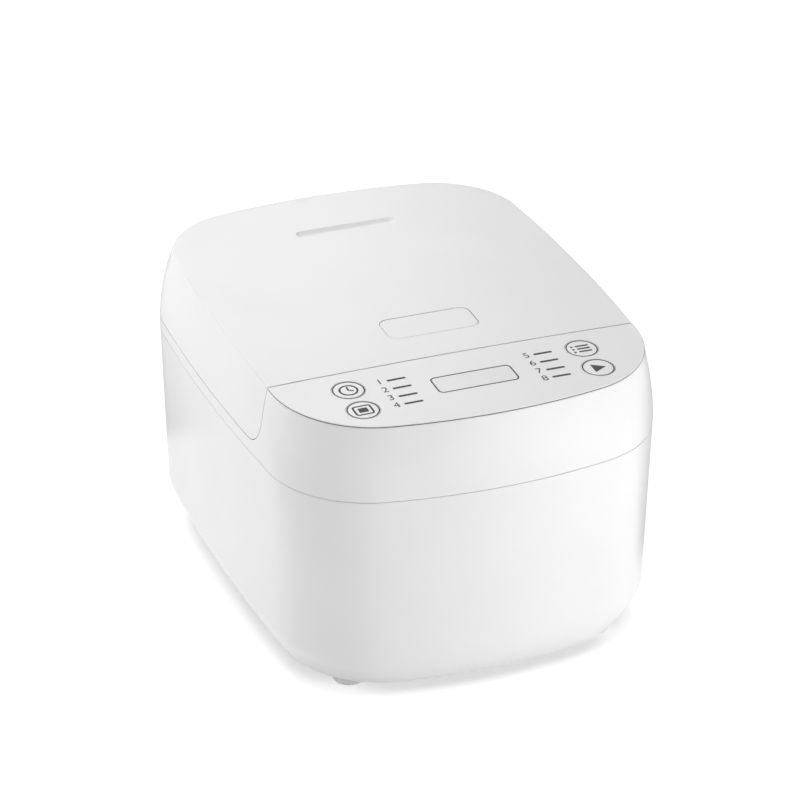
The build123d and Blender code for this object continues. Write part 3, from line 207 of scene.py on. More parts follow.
# %% Floor and edge cards
# Away from the cooker the paper brightens to the white of the background, so no horizon shows.


def flat_sheet(name, x_ends, y_ends, height, material):
    """A level rectangle in the studio, in metres."""
    mesh = bpy.data.meshes.new(name)
    corners = [(x_ends[k], y_ends[m], height) for k, m in ((0, 0), (1, 0), (1, 1), (0, 1))]
    mesh.from_pydata(corners, [], [(0, 1, 2, 3)])
    mesh.materials.append(material)
    sheet = bpy.data.objects.new(name, mesh)
    bpy.context.collection.objects.link(sheet)
    return sheet


floor_paper, tree, shader, place = new_material("white_paper_sweep")
shader.inputs["Base Color"].default_value = linear("#F4F4F4")
shader.inputs["Roughness"].default_value = 0.9
shader.inputs["Emission Color"].default_value = linear("#FFFFFF")
far = add_node(tree, "ShaderNodeVectorMath", {0: place}, {"operation": "LENGTH"}).outputs["Value"]
glow = add_node(tree, "ShaderNodeMapRange", {"Value": far},
                From_Min=0.3, From_Max=0.8, To_Min=0.45, To_Max=1.0)
lift = add_node(tree, "ShaderNodeMath", {0: background_rays(tree), 1: glow.outputs["Result"]},
                {"operation": "MULTIPLY"})
tree.links.new(lift.outputs[0], shader.inputs["Emission Strength"])
floor_ends = (-4.0, 4.0)
studio_floor = flat_sheet("studio_floor", floor_ends, floor_ends, 0.0, floor_paper)

card_felt, _, shader, _ = new_material("dark_felt_card")
shader.inputs["Base Color"].default_value = linear("#606060")
shader.inputs["Roughness"].default_value = 1.0
card_height = 2 * MM
card_places = {"card_right": ((0.17, 0.60), (-0.10, 0.60)), "card_back": ((-0.165, 0.17), (0.22, 0.80))}
for name, (x_ends, y_ends) in card_places.items():
    card = flat_sheet(name, x_ends, y_ends, card_height, card_felt)
    card.visible_camera = False
    card.visible_diffuse = False
    card.visible_shadow = False
    card.visible_transmission = False
print("floor", studio_floor.name, "and cards", list(card_places))

# %% [markdown]
# ## Finishes
# Each finish starts from what the real material is and how its surface was made, because
# that decides what the eye sees: how sharp a reflection is, whether it wobbles, where it
# wears. Patterns are sized in millimetres on Object coordinates, so they stay put when a
# part moves and mean the same on every piece.

# %% White moulded ABS
# Glossy-polished mould: a clear soft reflection, and the slight waviness of shrinking plastic.
white_abs, tree, shader, place = new_material("moulded_abs_white")
flow = add_node(tree, "ShaderNodeTexNoise", {"Vector": place}, Scale=waves_per_metre(60), Detail=2.0)
tint = add_node(tree, "ShaderNodeValToRGB", {"Fac": flow.outputs["Fac"]},
                stops=((0.3, "#F0F0F0"), (0.7, "#F3F3F3")))
tree.links.new(tint.outputs["Color"], shader.inputs["Base Color"])
ripple = add_node(tree, "ShaderNodeTexNoise", {"Vector": place}, Scale=waves_per_metre(9), Detail=1.0)
gloss = add_node(tree, "ShaderNodeMapRange", {"Value": ripple.outputs["Fac"]}, To_Min=0.30, To_Max=0.36)
tree.links.new(gloss.outputs["Result"], shader.inputs["Roughness"])
bump = add_node(tree, "ShaderNodeBump", {"Height": ripple.outputs["Fac"]}, Strength=0.05, Distance=0.2 * MM)
tree.links.new(bump.outputs["Normal"], shader.inputs["Normal"])
shader.inputs["IOR"].default_value = 1.53
print("finish", white_abs.name)

# %% Pale polypropylene
# Fine spark-eroded mould inside the lid: matt, with a dry grain of about half a millimetre.
liner_pp, tree, shader, place = new_material("moulded_polypropylene_pale_grey")
grain = add_node(tree, "ShaderNodeTexNoise", {"Vector": place}, Scale=waves_per_metre(0.6), Detail=3.0)
tint = add_node(tree, "ShaderNodeValToRGB", {"Fac": grain.outputs["Fac"]},
                stops=((0.3, "#DDDEDD"), (0.7, "#E6E6E4")))
tree.links.new(tint.outputs["Color"], shader.inputs["Base Color"])
bump = add_node(tree, "ShaderNodeBump", {"Height": grain.outputs["Fac"]}, Strength=0.25, Distance=0.05 * MM)
tree.links.new(bump.outputs["Normal"], shader.inputs["Normal"])
shader.inputs["Roughness"].default_value = 0.5
shader.inputs["IOR"].default_value = 1.49
print("finish", liner_pp.name)

# %% Black phenolic of the inlet and component cases
# Pressed with filler: nearly black, half matt, with faint grey specks.
black_resin, tree, shader, place = new_material("pressed_phenolic_black")
speck = add_node(tree, "ShaderNodeTexNoise", {"Vector": place}, Scale=waves_per_metre(0.8), Detail=4.0)
tint = add_node(tree, "ShaderNodeValToRGB", {"Fac": speck.outputs["Fac"]},
                stops=((0.45, "#171718"), (0.75, "#2C2C2E")))
tree.links.new(tint.outputs["Color"], shader.inputs["Base Color"])
shade = add_node(tree, "ShaderNodeMapRange", {"Value": speck.outputs["Fac"]}, To_Min=0.38, To_Max=0.55)
tree.links.new(shade.outputs["Result"], shader.inputs["Roughness"])
print("finish", black_resin.name)

# %% Pale rubber of the feet
# Compression moulded: matt, a little dusty, with a dull soft edge.
foot_rubber, tree, shader, place = new_material("moulded_rubber_pale")
dust = add_node(tree, "ShaderNodeTexNoise", {"Vector": place}, Scale=waves_per_metre(2.5), Detail=5.0)
tint = add_node(tree, "ShaderNodeValToRGB", {"Fac": dust.outputs["Fac"]},
                stops=((0.35, "#E4E4E3"), (0.7, "#EFEFEE")))
tree.links.new(tint.outputs["Color"], shader.inputs["Base Color"])
bump = add_node(tree, "ShaderNodeBump", {"Height": dust.outputs["Fac"]}, Strength=0.3, Distance=0.1 * MM)
tree.links.new(bump.outputs["Normal"], shader.inputs["Normal"])
shader.inputs["Roughness"].default_value = 0.75
print("finish", foot_rubber.name)

# %% Zinc-plated steel
# Pressed and plated: bright grey, with the long faint scratches of the rolling mill.
plated_steel, tree, shader, place = new_material("zinc_plated_steel")
along = add_node(tree, "ShaderNodeMapping", {"Vector": place})
along.inputs["Scale"].default_value = (1.0, 0.05, 1.0)
scratch = add_node(tree, "ShaderNodeTexNoise", {"Vector": along.outputs["Vector"]},
                   Scale=waves_per_metre(0.7), Detail=4.0)
tint = add_node(tree, "ShaderNodeValToRGB", {"Fac": scratch.outputs["Fac"]},
                stops=((0.3, "#A9ABAE"), (0.7, "#C6C8CA")))
tree.links.new(tint.outputs["Color"], shader.inputs["Base Color"])
shade = add_node(tree, "ShaderNodeMapRange", {"Value": scratch.outputs["Fac"]}, To_Min=0.22, To_Max=0.42)
tree.links.new(shade.outputs["Result"], shader.inputs["Roughness"])
shader.inputs["Metallic"].default_value = 1.0
print("finish", plated_steel.name)

# %% Turned aluminium
# The heating plate and lid plate are turned on a lathe: fine rings about the pot's axis, drawn
# coarser than a real tool mark so that they show. A wave texture has 20 radians to a unit.
pot_axis_y = sum(extent("inner_pot", 1)) / 2
ring_spacing = 2.4 * MM
turned_aluminium, tree, shader, place = new_material("turned_aluminium")
centred = add_node(tree, "ShaderNodeMapping", {"Vector": place})
centred.inputs["Location"].default_value = (0.0, -pot_axis_y, 0.0)
centred.inputs["Scale"].default_value = (1.0, 1.0, 0.0)
rings = add_node(tree, "ShaderNodeTexWave", {"Vector": centred.outputs["Vector"]},
                 {"wave_type": "RINGS", "rings_direction": "SPHERICAL"},
                 Scale=tau / (20 * ring_spacing), Distortion=0.6, Detail=2.0)
tint = add_node(tree, "ShaderNodeValToRGB", {"Fac": rings.outputs["Fac"]},
                stops=((0.2, "#C3C4C6"), (0.8, "#CDCED0")))
tree.links.new(tint.outputs["Color"], shader.inputs["Base Color"])
shade = add_node(tree, "ShaderNodeMapRange", {"Value": rings.outputs["Fac"]}, To_Min=0.26, To_Max=0.36)
tree.links.new(shade.outputs["Result"], shader.inputs["Roughness"])
bump = add_node(tree, "ShaderNodeBump", {"Height": rings.outputs["Fac"]}, Strength=0.15, Distance=0.05 * MM)
tree.links.new(bump.outputs["Normal"], shader.inputs["Normal"])
shader.inputs["Metallic"].default_value = 1.0
print("finish", turned_aluminium.name)

# %% Non-stick pot coating
# Sprayed and baked: dark grey, a low sheen, with mineral specks under a millimetre across.
pot_coating, tree, shader, place = new_material("baked_nonstick_coating")
specks = add_node(tree, "ShaderNodeTexVoronoi", {"Vector": place}, Scale=waves_per_metre(2.4))
tint = add_node(tree, "ShaderNodeValToRGB", {"Fac": specks.outputs["Distance"]},
                stops=((0.06, "#8A8986"), (0.13, "#37373A"), (0.6, "#2D2D30")))
tree.links.new(tint.outputs["Color"], shader.inputs["Base Color"])
spray = add_node(tree, "ShaderNodeTexNoise", {"Vector": place}, Scale=waves_per_metre(1.0), Detail=3.0)
shade = add_node(tree, "ShaderNodeMapRange", {"Value": spray.outputs["Fac"]}, To_Min=0.28, To_Max=0.42)
tree.links.new(shade.outputs["Result"], shader.inputs["Roughness"])
bump = add_node(tree, "ShaderNodeBump", {"Height": spray.outputs["Fac"]}, Strength=0.2, Distance=0.04 * MM)
tree.links.new(bump.outputs["Normal"], shader.inputs["Normal"])
print("finish", pot_coating.name)

# %% Circuit board
# Fibreglass under a green lacquer, with copper tracks that show as paler bands.
board_lacquer, tree, shader, place = new_material("lacquered_fibreglass_board")
tracks = add_node(tree, "ShaderNodeTexBrick", {"Vector": place}, Scale=waves_per_metre(7),
                  Mortar_Size=0.06, Brick_Width=1.6, Row_Height=0.5, Color1=linear("#20583A"),
                  Color2=linear("#255F40"), Mortar=linear("#3C7C57"))
tree.links.new(tracks.outputs["Color"], shader.inputs["Base Color"])
shader.inputs["Roughness"].default_value = 0.35
bump = add_node(tree, "ShaderNodeBump", {"Height": tracks.outputs["Fac"]}, Strength=0.3, Distance=0.05 * MM)
tree.links.new(bump.outputs["Normal"], shader.inputs["Normal"])
print("finish", board_lacquer.name)

# %% Silicone rubber
# Cast clear and cured: milky, soft, light goes a little way into it.
clear_silicone, tree, shader, place = new_material("cast_silicone_milky")
cloud = add_node(tree, "ShaderNodeTexNoise", {"Vector": place}, Scale=waves_per_metre(6), Detail=3.0)
tint = add_node(tree, "ShaderNodeValToRGB", {"Fac": cloud.outputs["Fac"]},
                stops=((0.3, "#D3D6D7"), (0.7, "#E2E4E4")))
tree.links.new(tint.outputs["Color"], shader.inputs["Base Color"])
shader.inputs["Roughness"].default_value = 0.42
shader.inputs["IOR"].default_value = 1.41
shader.inputs["Subsurface Weight"].default_value = 0.15
shader.inputs["Subsurface Radius"].default_value = (0.002, 0.002, 0.002)
print("finish", clear_silicone.name)

# %% Display window
# A back-printed acrylic sheet: white like the panel while it is off, but flatter and glossier.
display_acrylic, tree, shader, place = new_material("printed_acrylic_white")
veil = add_node(tree, "ShaderNodeTexNoise", {"Vector": place}, Scale=waves_per_metre(25), Detail=2.0)
tint = add_node(tree, "ShaderNodeValToRGB", {"Fac": veil.outputs["Fac"]},
                stops=((0.3, "#ECECEC"), (0.7, "#F0F0F0")))
tree.links.new(tint.outputs["Color"], shader.inputs["Base Color"])
shader.inputs["Roughness"].default_value = 0.26
print("finish", display_acrylic.name)

# %% Printed ink
# Pad-printed grey ink: a thin matt film whose edge and density vary a little.
panel_ink, tree, shader, place = new_material("pad_printed_ink_grey")
density = add_node(tree, "ShaderNodeTexNoise", {"Vector": place}, Scale=waves_per_metre(0.8), Detail=4.0)
tint = add_node(tree, "ShaderNodeValToRGB", {"Fac": density.outputs["Fac"]},
                stops=((0.3, "#161617"), (0.7, "#262628")))
tree.links.new(tint.outputs["Color"], shader.inputs["Base Color"])
shader.inputs["Roughness"].default_value = 0.6
print("finish", panel_ink.name)

# %% [markdown]
# ## Dressing the CAD nodes
# A CAD node comes in as loose triangles with hard edges. On the real object a moulded wall
# flows into its rounded edges, so each visible node is copied, its doubles are merged and it
# is shaded smooth up to an angle. The copy stands for the node and rides on the same body,
# except a spring, which touches two bodies: its copy is only set in place and rides on none.

# %% Dress the nodes
bodies = frame["record"]["behaviour"]["bodies"]
body_of = {node: body for body, nodes in bodies.items() for node in nodes}
up = Vector((0, 0, 1))
to_front = Vector((0, -1, 0))
springs = {"sensor_spring": ("base", "sensor", up), "button_spring_left": ("lid", "open_button", up),
           "button_spring_right": ("lid", "open_button", up), "latch_spring": ("lid", "latch", to_front)}
merge_distance = 0.002 * MM


def stretch(piece, still, moving, along):
    """Set a spring's copy in place where it stands; it does not shorten and rides on no body."""
    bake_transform(piece)


def dress(node, material, angle):
    """Copy a node as one mesh that is smooth up to an angle, and let the copy stand for it."""
    mesh = frame["nodes"][node].data.copy()
    work = bmesh.new()
    work.from_mesh(mesh)
    bmesh.ops.remove_doubles(work, verts=work.verts, dist=merge_distance)
    for face in work.faces:
        face.smooth = True
    for edge in work.edges:
        edge.smooth = len(edge.link_faces) == 2 and edge.calc_face_angle(0.0) < radians(angle)
    work.to_mesh(mesh)
    work.free()
    mesh.materials.clear()
    mesh.materials.append(material)
    piece = bpy.data.objects.new("dressed_" + node, mesh)
    bpy.context.collection.objects.link(piece)
    if node in springs:
        stretch(piece, *springs[node])
    else:
        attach(piece, body_of[node])
    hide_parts(node)
    return piece


finishes = {
    "white_plastic": (white_abs, "lower_shell upper_frame control_panel lid_cover open_button key_left_back"
                      " key_left_front key_right_back key_right_front"),
    "liner_plastic": (liner_pp, "base_plate lid_liner plate_knob latch"),
    "black_plastic": (black_resin, "inlet_socket"),
    "foot_rubber": (foot_rubber, "foot_front_left foot_back_left foot_front_right foot_back_right"),
    "steel": (plated_steel, "base_screws inlet_blades inner_shield hinge_pin sensor_cup sensor_spring"
              " latch_spring button_spring_left button_spring_right hinge_spring_left hinge_spring_right"
              " board_screws lid_screws warmer_band"),
    "aluminium": (turned_aluminium, "heating_plate sensor_cap inner_lid_plate lid_sensor"),
    "pot_coating": (pot_coating, "inner_pot"),
    "circuit_board": (board_lacquer, "control_board power_board"),
    "component_plastic": (black_resin, "key_switches transformer relay capacitor thermal_fuse"
                          " display_module"),
    "silicone": (clear_silicone, "pot_seal steam_valve steam_duct"),
    "display_plastic": (display_acrylic, "display_window"),
}
smooth_angle = 35.0
crisp_angles = {"lid_cover": 20.0}
dressed = {}
for slot, (material, nodes) in finishes.items():
    for node in nodes.split():
        dressed[node] = dress(node, material, crisp_angles.get(node, smooth_angle))
print("dressed", len(dressed), "of", len(frame["nodes"]))

# %% [markdown]
# ## Printed marks
# The panel of the real cooker is printed, not engraved: a thin line round each key and round
# the display, and rows of small marks beside it. A decal texture would need an image, so each
# mark is a thin film of its own, drawn flat and then laid on the panel by casting a ray down
# from every point. The rings repeat, so one node tree draws them from a few named sizes.

# %% Lay a flat drawing on a surface
film = 0.03 * MM
film_gap = 0.02 * MM
ray_start_height = 1.0
down = Vector((0, 0, -1))


def surface_of(*names):
    """A ray-casting tree of dressed pieces, as they stand at rest."""
    points, faces = [], []
    for name in names:
        mesh = dressed[name].data
        start = len(points)
        points.extend(v.co.copy() for v in mesh.vertices)
        faces.extend([start + k for k in f.vertices] for f in mesh.polygons)
    return BVHTree.FromPolygons(points, faces)


def height_at(surface, x, y):
    """Height of a surface at a place, seen from above."""
    return surface.ray_cast(Vector((x, y, ray_start_height)), down)[0].z


def lay_on(mesh, surface):
    """Move every point onto the surface below it, keeping its own height above that."""
    for vertex in mesh.vertices:
        x, y, z = vertex.co
        vertex.co.z = z + film_gap + height_at(surface, x, y)


def add_piece(name, mesh, body, material):
    """Put a finished mesh in the scene as a piece that rides on a body."""
    mesh.materials.clear()
    mesh.materials.append(material)
    piece = bpy.data.objects.new(name, mesh)
    bpy.context.collection.objects.link(piece)
    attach(piece, body)


panel_skin = surface_of("control_panel")
print("panel top beside the display", round(height_at(panel_skin, 0.03, -0.1) / MM, 2), "mm")

# %% Start and end of a geometry tree
# Every tree here has its sizes and its finish as named inputs, and ends with a plain coloured mesh.


def start_tree(name, *sizes):
    """A tree with a start mesh, sizes and a finish as inputs, and the identifiers that set them."""
    tree = bpy.data.node_groups.new(name, "GeometryNodeTree")
    kinds = {"Start": "NodeSocketGeometry"}
    kinds.update({size: "NodeSocketFloat" for size in sizes})
    kinds["Finish"] = "NodeSocketMaterial"
    sockets = {}
    for label, kind in kinds.items():
        sockets[label] = tree.interface.new_socket(label, in_out="INPUT", socket_type=kind).identifier
    tree.interface.new_socket("Geometry", in_out="OUTPUT", socket_type="NodeSocketGeometry")
    return tree, sockets, add_node(tree, "NodeGroupInput").outputs


def end_tree(tree, geometry, finish):
    """Make the instances real, give them their finish and hand them out."""
    solid = add_node(tree, "GeometryNodeRealizeInstances", {"Geometry": geometry})
    coloured = add_node(tree, "GeometryNodeSetMaterial",
                        {"Geometry": solid.outputs["Geometry"], "Material": finish})
    add_node(tree, "NodeGroupOutput", {"Geometry": coloured.outputs["Geometry"]})


def plain_mesh(tree, sockets, name, inputs, places=(), path=()):
    """Run a tree on places in millimetres or on a path in metres, and return a plain mesh."""
    start = bpy.data.meshes.new(name)
    points = [(x * MM, y * MM, 0.0) for x, y in places] + [tuple(p) for p in path]
    start.from_pydata(points, [(k, k + 1) for k in range(len(path) - 1)], [])
    carrier = bpy.data.objects.new(name, start)
    bpy.context.collection.objects.link(carrier)
    modifier = carrier.modifiers.new(name, "NODES")
    modifier.node_group = tree
    for label, value in inputs.items():
        modifier[sockets[label]] = value
    depsgraph = bpy.context.evaluated_depsgraph_get()
    mesh = bpy.data.meshes.new_from_object(carrier.evaluated_get(depsgraph))
    carrier.modifiers.remove(modifier)
    bpy.data.objects.remove(carrier)
    mesh.name = name
    return mesh


print("film", film / MM, "mm, laid", film_gap / MM, "mm above the surface")

# %% Printed line tree
# A rounded outline with a thin flat section swept along it.
line_tree, line_sockets, given = start_tree("printed_line_frame",
                                            "Width", "Depth", "Corner", "Line", "Film")
outline = add_node(line_tree, "GeometryNodeCurvePrimitiveQuadrilateral",
                   {"Width": given["Width"], "Height": given["Depth"]})
rounded = add_node(line_tree, "GeometryNodeFilletCurve",
                   {"Curve": outline.outputs["Curve"], "Radius": given["Corner"]},
                   {"mode": "POLY"}, Count=16, Limit_Radius=True)
dense = add_node(line_tree, "GeometryNodeResampleCurve", {"Curve": rounded.outputs["Curve"]}, Count=160)
section = add_node(line_tree, "GeometryNodeCurvePrimitiveQuadrilateral",
                   {"Width": given["Line"], "Height": given["Film"]})
band = add_node(line_tree, "GeometryNodeCurveToMesh",
                {"Curve": dense.outputs["Curve"], "Profile Curve": section.outputs["Curve"]})
end_tree(line_tree, band.outputs["Mesh"], given["Finish"])
corner_gap = 0.01


def line_frame(name, width, depth, corner, line, x, y):
    """A rounded line frame centred at a place on the panel, all in millimetres."""
    mesh = plain_mesh(line_tree, line_sockets, name, {
        "Width": width * MM, "Depth": depth * MM, "Corner": corner * MM, "Line": line * MM,
        "Film": film, "Finish": panel_ink})
    mesh.transform(Matrix.Translation((x * MM, y * MM, 0.0)))
    return mesh


def ring_line(name, across, line, x, y):
    """A round line: a frame whose corners all but meet."""
    corner = across / 2 - corner_gap
    return line_frame(name, across, across, corner, line, x, y)


print("tree", line_tree.name, "inputs", list(line_sockets))

# %% Lines round the keys and the display
# The panel slopes, so a key's top lies a little in front of the middle of its box.
key_names = ("key_left_back", "key_left_front", "key_right_back", "key_right_front")
key_lean = 0.25
key_places = {}
for key in key_names:
    middle_x, middle_y = (sum(extent(key, axis)) / 2 / MM for axis in (0, 1))
    key_places[key] = (round(middle_x, 1), round(middle_y - key_lean, 1))
key_ring_across = 18.7
key_ring_line = 0.85
for key, (x, y) in key_places.items():
    ring = ring_line("ring_line_" + key, key_ring_across, key_ring_line, x, y)
    lay_on(ring, surface_of(key))
    add_piece("ring_line_" + key, ring, key, panel_ink)
display_y = -115.6
display_line = line_frame("display_line", width=50.6, depth=17.4, corner=3.0, line=0.9, x=0.0, y=display_y)
lay_on(display_line, surface_of("display_window"))
add_piece("display_line", display_line, "base", panel_ink)
print("ring lines at", key_places, "and the display line")

# %% [markdown]
# ## Parting lines
# Where the panel sits on the front wall, the joint between the two mouldings shows as one thin
# grey line just under the panel's edge: the shade inside the gap. The joint itself is narrower
# than a pixel, so a fine bead of painted shade, a shadow grey, lies in it. Its path is found by
# looking at the wall from outside, all round the front, and a node tree sweeps a small round
# section along that path.

# %% Bead tree
# Painted shade: a slightly mottled dark grey put in the open joint, where there is only shade.
joint_painted_shade, tree, shader, place = new_material("joint_shadow_grey")
shade_mottle = add_node(tree, "ShaderNodeTexNoise", {"Vector": place}, Scale=waves_per_metre(4), Detail=3.0)
tint = add_node(tree, "ShaderNodeValToRGB", {"Fac": shade_mottle.outputs["Fac"]},
                stops=((0.3, "#6E6D6B"), (0.7, "#82817F")))
tree.links.new(tint.outputs["Color"], shader.inputs["Base Color"])
shader.inputs["Roughness"].default_value = 0.9
bead_tree, bead_sockets, given = start_tree("bead_on_path", "Radius")
line = add_node(bead_tree, "GeometryNodeMeshToCurve", {"Mesh": given["Start"]})
section = add_node(bead_tree, "GeometryNodeCurvePrimitiveCircle", {"Radius": given["Radius"]}, Resolution=8)
swept = add_node(bead_tree, "GeometryNodeCurveToMesh",
                 {"Curve": line.outputs["Curve"], "Profile Curve": section.outputs["Curve"]},
                 Fill_Caps=True)
end_tree(bead_tree, swept.outputs["Mesh"], given["Finish"])
print("finish", joint_painted_shade.name, "tree", bead_tree.name)

# %% Bead under the panel's edge
fold_y = extent("lid_cover", 1)[0]
panel_rim = 0.9 * MM
rim_inset = 3.0 * MM
first_guess_height = 185.0 * MM
edge_rounds = 4
bead_radius = 0.22 * MM
bead_steps = 240
bead_start, bead_sweep = radians(180.6), radians(178.8)
wall_skin = surface_of("upper_frame", "control_panel")


def wall_point(angle, height):
    """Where a level ray from outside meets the casing, at an angle about the middle of the fold."""
    out = Vector((cos(angle), sin(angle), 0.0))
    start = Vector((0.0, fold_y, height)) + out
    return wall_skin.ray_cast(start, -out)[0]


def panel_edge_point(angle):
    """Point on the wall in the joint under the panel's edge, closed in on in a few rounds."""
    height = first_guess_height
    for _ in range(edge_rounds):
        point = wall_point(angle, height)
        inside = point + (Vector((0.0, fold_y, point.z)) - point).normalized() * rim_inset
        height = height_at(panel_skin, inside.x, inside.y) - panel_rim
    return wall_point(angle, height)


edge_path = [panel_edge_point(bead_start + bead_sweep * k / bead_steps) for k in range(bead_steps + 1)]
bead = plain_mesh(bead_tree, bead_sockets, "panel_joint_bead",
                  {"Radius": bead_radius, "Finish": joint_painted_shade}, path=edge_path)
add_piece("panel_joint_bead", bead, "base", joint_painted_shade)
bead_ends = [[round(c / MM, 1) for c in point] for point in (edge_path[0], edge_path[-1])]
print("joint bead from", bead_ends[0], "to", bead_ends[1])

# %% [markdown]
# ## Rows of programme marks
# Beside the display the panel has four short printed rows on each side. Here they are plain
# numerals with a bar, which stand for programmes without naming any. The bars are alike, so
# a tree places one rounded bar on each point of a list. The numerals are Blender text, made
# a mesh while flat and then laid on the panel like every other mark.

# %% Bar tree
bar_tree, bar_sockets, given = start_tree("printed_bars", "Length", "Width", "Film")
outline = add_node(bar_tree, "GeometryNodeCurvePrimitiveQuadrilateral",
                   {"Width": given["Length"], "Height": given["Width"]})
rounded = add_node(bar_tree, "GeometryNodeFilletCurve",
                   {"Curve": outline.outputs["Curve"], "Radius": given["Width"]},
                   {"mode": "POLY"}, Count=5, Limit_Radius=True)
filled = add_node(bar_tree, "GeometryNodeFillCurve", {"Curve": rounded.outputs["Curve"]}, {"mode": "NGONS"})
raised = add_node(bar_tree, "GeometryNodeExtrudeMesh",
                  {"Mesh": filled.outputs["Mesh"], "Offset Scale": given["Film"]}, {"mode": "FACES"})
under = add_node(bar_tree, "GeometryNodeFlipFaces", {"Mesh": filled.outputs["Mesh"]})
bar = add_node(bar_tree, "GeometryNodeJoinGeometry")
for half in (raised, under):
    bar_tree.links.new(half.outputs["Mesh"], bar.inputs["Geometry"])
sealed = add_node(bar_tree, "GeometryNodeMergeByDistance", {"Geometry": bar.outputs["Geometry"]},
                  Distance=0.001 * MM)
spread = add_node(bar_tree, "GeometryNodeInstanceOnPoints",
                  {"Points": given["Start"], "Instance": sealed.outputs["Geometry"]})
end_tree(bar_tree, spread.outputs["Instances"], given["Finish"])


def bars(name, places, length, width):
    """Rounded bars at places on the panel, all in millimetres."""
    return plain_mesh(bar_tree, bar_sockets, name, {
        "Length": length * MM, "Width": width * MM, "Film": film, "Finish": panel_ink}, places)


row_x = 47.0
row_y_places = (-100.5, -110.0, -119.5, -128.5)
row_places = [(side * row_x, y) for side in (-1, 1) for y in row_y_places]
bar_right_of_row = 3.2
bar_places = [(x + bar_right_of_row, y) for x, y in row_places]
row_bars = bars("programme_bars", bar_places, length=12.0, width=1.9)
lay_on(row_bars, panel_skin)
add_piece("programme_bars", row_bars, "base", panel_ink)
print("programme bars", len(row_places))

# %% Numerals


def numeral(text, size, x, y):
    """Text as a flat mesh centred at a place on the panel, in millimetres."""
    curve = bpy.data.curves.new("numeral", "FONT")
    curve.body = text
    curve.size = size * MM
    curve.extrude = film / 2
    curve.align_x = "CENTER"
    curve.align_y = "CENTER"
    carrier = bpy.data.objects.new("numeral", curve)
    bpy.context.collection.objects.link(carrier)
    depsgraph = bpy.context.evaluated_depsgraph_get()
    mesh = bpy.data.meshes.new_from_object(carrier.evaluated_get(depsgraph))
    bpy.data.objects.remove(carrier)
    mesh.transform(Matrix.Translation((x * MM, y * MM, film / 2)))
    return mesh


def join_meshes(name, meshes):
    """One mesh from several, with points that coincide merged."""
    work = bmesh.new()
    for mesh in meshes:
        work.from_mesh(mesh)
    bmesh.ops.remove_doubles(work, verts=work.verts, dist=0.001 * MM)
    joined = bpy.data.meshes.new(name)
    work.to_mesh(joined)
    work.free()
    return joined


numeral_size = 8.2
numeral_left_of_row = 7.4
numerals = join_meshes("programme_numerals", [
    numeral(str(k + 1), numeral_size, x - numeral_left_of_row, y) for k, (x, y) in enumerate(row_places)])
lay_on(numerals, panel_skin)
add_piece("programme_numerals", numerals, "base", panel_ink)
print("numerals", len(row_places), "faces", len(numerals.polygons))

# %% [markdown]
# ## Key symbols
# Each key carries one plain symbol that any appliance could have: a clock for the timer, a
# square to stop, bars for the menu and a triangle to start. They ride on the keys, so they
# go down with them when pressed.

# %% Flat shapes


def flat_film(name, outline):
    """A thin closed film with a given outline of (x, y) points in millimetres."""
    work = bmesh.new()
    low = [work.verts.new((x * MM, y * MM, 0.0)) for x, y in outline]
    high = [work.verts.new((x * MM, y * MM, film)) for x, y in outline]
    count = len(outline)
    work.faces.new(high)
    work.faces.new(low[::-1])
    for k in range(count):
        work.faces.new((low[k], low[(k + 1) % count], high[(k + 1) % count], high[k]))
    mesh = bpy.data.meshes.new(name)
    work.to_mesh(mesh)
    work.free()
    return mesh


def stroke(x0, y0, x1, y1, width):
    """Outline of a straight stroke, anticlockwise."""
    along = Vector((x1 - x0, y1 - y0)).normalized() * (width / 2)
    side = Vector((-along.y, along.x))
    ends = (Vector((x0, y0)) - along, Vector((x1, y1)) + along)
    return [tuple(ends[0] - side), tuple(ends[1] - side), tuple(ends[1] + side), tuple(ends[0] + side)]


def symbol(key, shapes):
    """Join flat shapes, lay them on a key and let them ride on it."""
    mesh = join_meshes("symbol_" + key, shapes)
    lay_on(mesh, surface_of(key))
    add_piece("symbol_" + key, mesh, key, panel_ink)


print("outline of a short stroke", stroke(0.0, 0.0, 3.0, 0.0, 1.0))

# %% Symbols on the keys
# Each drawing is in millimetres from the middle of its key.
symbol_across = 10.6
symbol_line = 1.2
hand_line = 1.1
x, y = key_places["key_left_back"]
symbol("key_left_back", [
    ring_line("clock_rim", symbol_across, symbol_line, x, y),
    flat_film("clock_hand_long", stroke(x, y, x, y + 3.4, hand_line)),
    flat_film("clock_hand_short", stroke(x, y, x + 2.3, y - 1.2, hand_line))])
x, y = key_places["key_left_front"]
core_x, core_y = 2.9, 2.4
symbol("key_left_front", [
    line_frame("stop_rim", symbol_across, 9.4, 1.6, symbol_line, x, y),
    flat_film("stop_core", [(x - core_x, y - core_y), (x + core_x, y - core_y),
                            (x + core_x, y + core_y), (x - core_x, y + core_y)])])
x, y = key_places["key_right_back"]
menu_rows = [y + step for step in (-3.2, 0.0, 3.2)]
symbol("key_right_back", [
    bars("menu_bars", [(x + 1.2, row) for row in menu_rows], length=8.6, width=1.5),
    bars("menu_dots", [(x - 5.4, row) for row in menu_rows], length=1.8, width=1.6)])
x, y = key_places["key_right_front"]
symbol("key_right_front", [
    flat_film("start_arrow", [(x - 3.4, y - 4.6), (x + 5.0, y), (x - 3.4, y + 4.6)])])
print("symbols on", list(key_places))

# %% [markdown]
# ## Level marks in the pot
# A cook reads the water level from short marks printed inside the pot. They are drawn flat like
# the panel's marks and then bent round the wall: the drawing's x runs along the wall and its y
# goes up. A ray from the pot's axis gives the wall's radius, so the marks follow the frame.

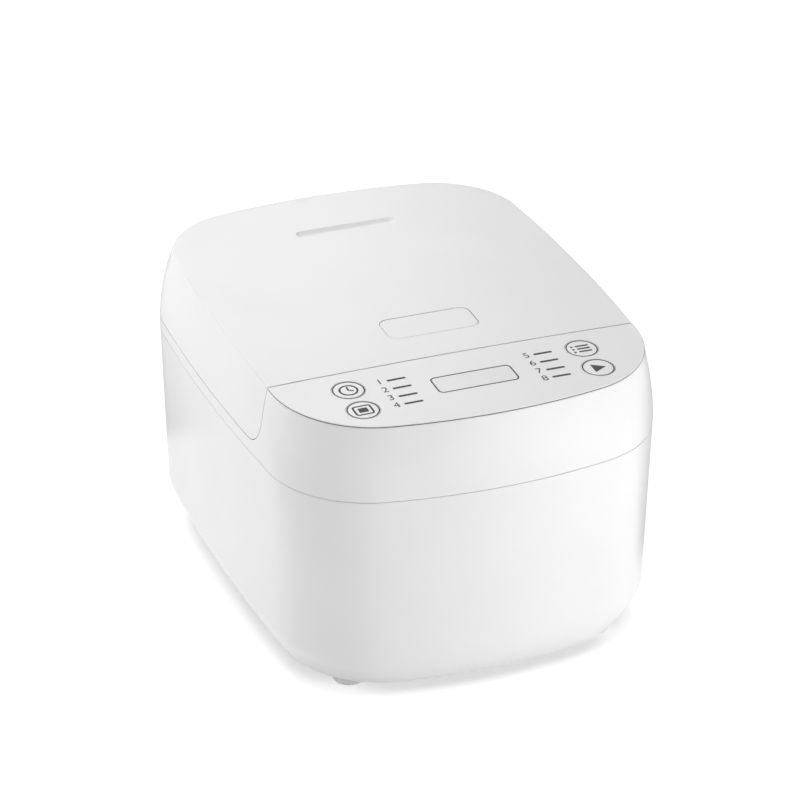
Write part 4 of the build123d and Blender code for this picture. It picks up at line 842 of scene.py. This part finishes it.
# %% Print in the pot
# Fired into the coating: a pale, dry print that stays readable when wet.
level_print, tree, shader, place = new_material("fired_print_pale_grey")
fired = add_node(tree, "ShaderNodeTexNoise", {"Vector": place}, Scale=waves_per_metre(0.7), Detail=4.0)
tint = add_node(tree, "ShaderNodeValToRGB", {"Fac": fired.outputs["Fac"]},
                stops=((0.3, "#A3A29E"), (0.7, "#BDBCB8")))
tree.links.new(tint.outputs["Color"], shader.inputs["Base Color"])
shader.inputs["Roughness"].default_value = 0.6
print("finish", level_print.name)

# %% Level marks
pot_foot = extent("inner_pot", 2)[0]
probe_height = 60.0 * MM
probe = Vector((0.0, pot_axis_y, pot_foot + probe_height))
pot_wall = surface_of("inner_pot").ray_cast(probe, Vector((0, 1, 0)))[3]
first_level = 38.0
level_step = 11.0
level_count = 5
levels = [first_level + level_step * k for k in range(level_count)]
level_numeral_size = 7.5
numeral_left_of_bar = 13.0
mark_bearing = radians(22.0)


def split_long_edges(mesh, longest, cuts):
    """Cut the edges over a length into short ones, so that a flat drawing can bend."""
    work = bmesh.new()
    work.from_mesh(mesh)
    long_edges = [e for e in work.edges if e.calc_length() > longest]
    bmesh.ops.subdivide_edges(work, edges=long_edges, cuts=cuts)
    bmesh.ops.triangulate(work, faces=work.faces)
    work.to_mesh(mesh)
    work.free()


def bend_in_pot(mesh, bearing):
    """Bend a flat drawing onto the pot's inner wall, about a bearing from the back."""
    for vertex in mesh.vertices:
        x, y, z = vertex.co
        turn = bearing + x / pot_wall
        reach = pot_wall - film_gap - z
        vertex.co = (reach * sin(turn), pot_axis_y + reach * cos(turn), pot_foot + y)


level_bars = bars("level_bars", [(0.0, y) for y in levels], length=16.0, width=1.2)
level_marks = join_meshes("pot_level_marks", [level_bars] + [
    numeral(str(k + 1), level_numeral_size, -numeral_left_of_bar, y) for k, y in enumerate(levels)])
split_long_edges(level_marks, longest=2.0 * MM, cuts=7)
bend_in_pot(level_marks, mark_bearing)
add_piece("pot_level_marks", level_marks, body_of["inner_pot"], level_print)
print("level marks", level_count, "on a wall of radius", round(pot_wall / MM, 1), "mm")
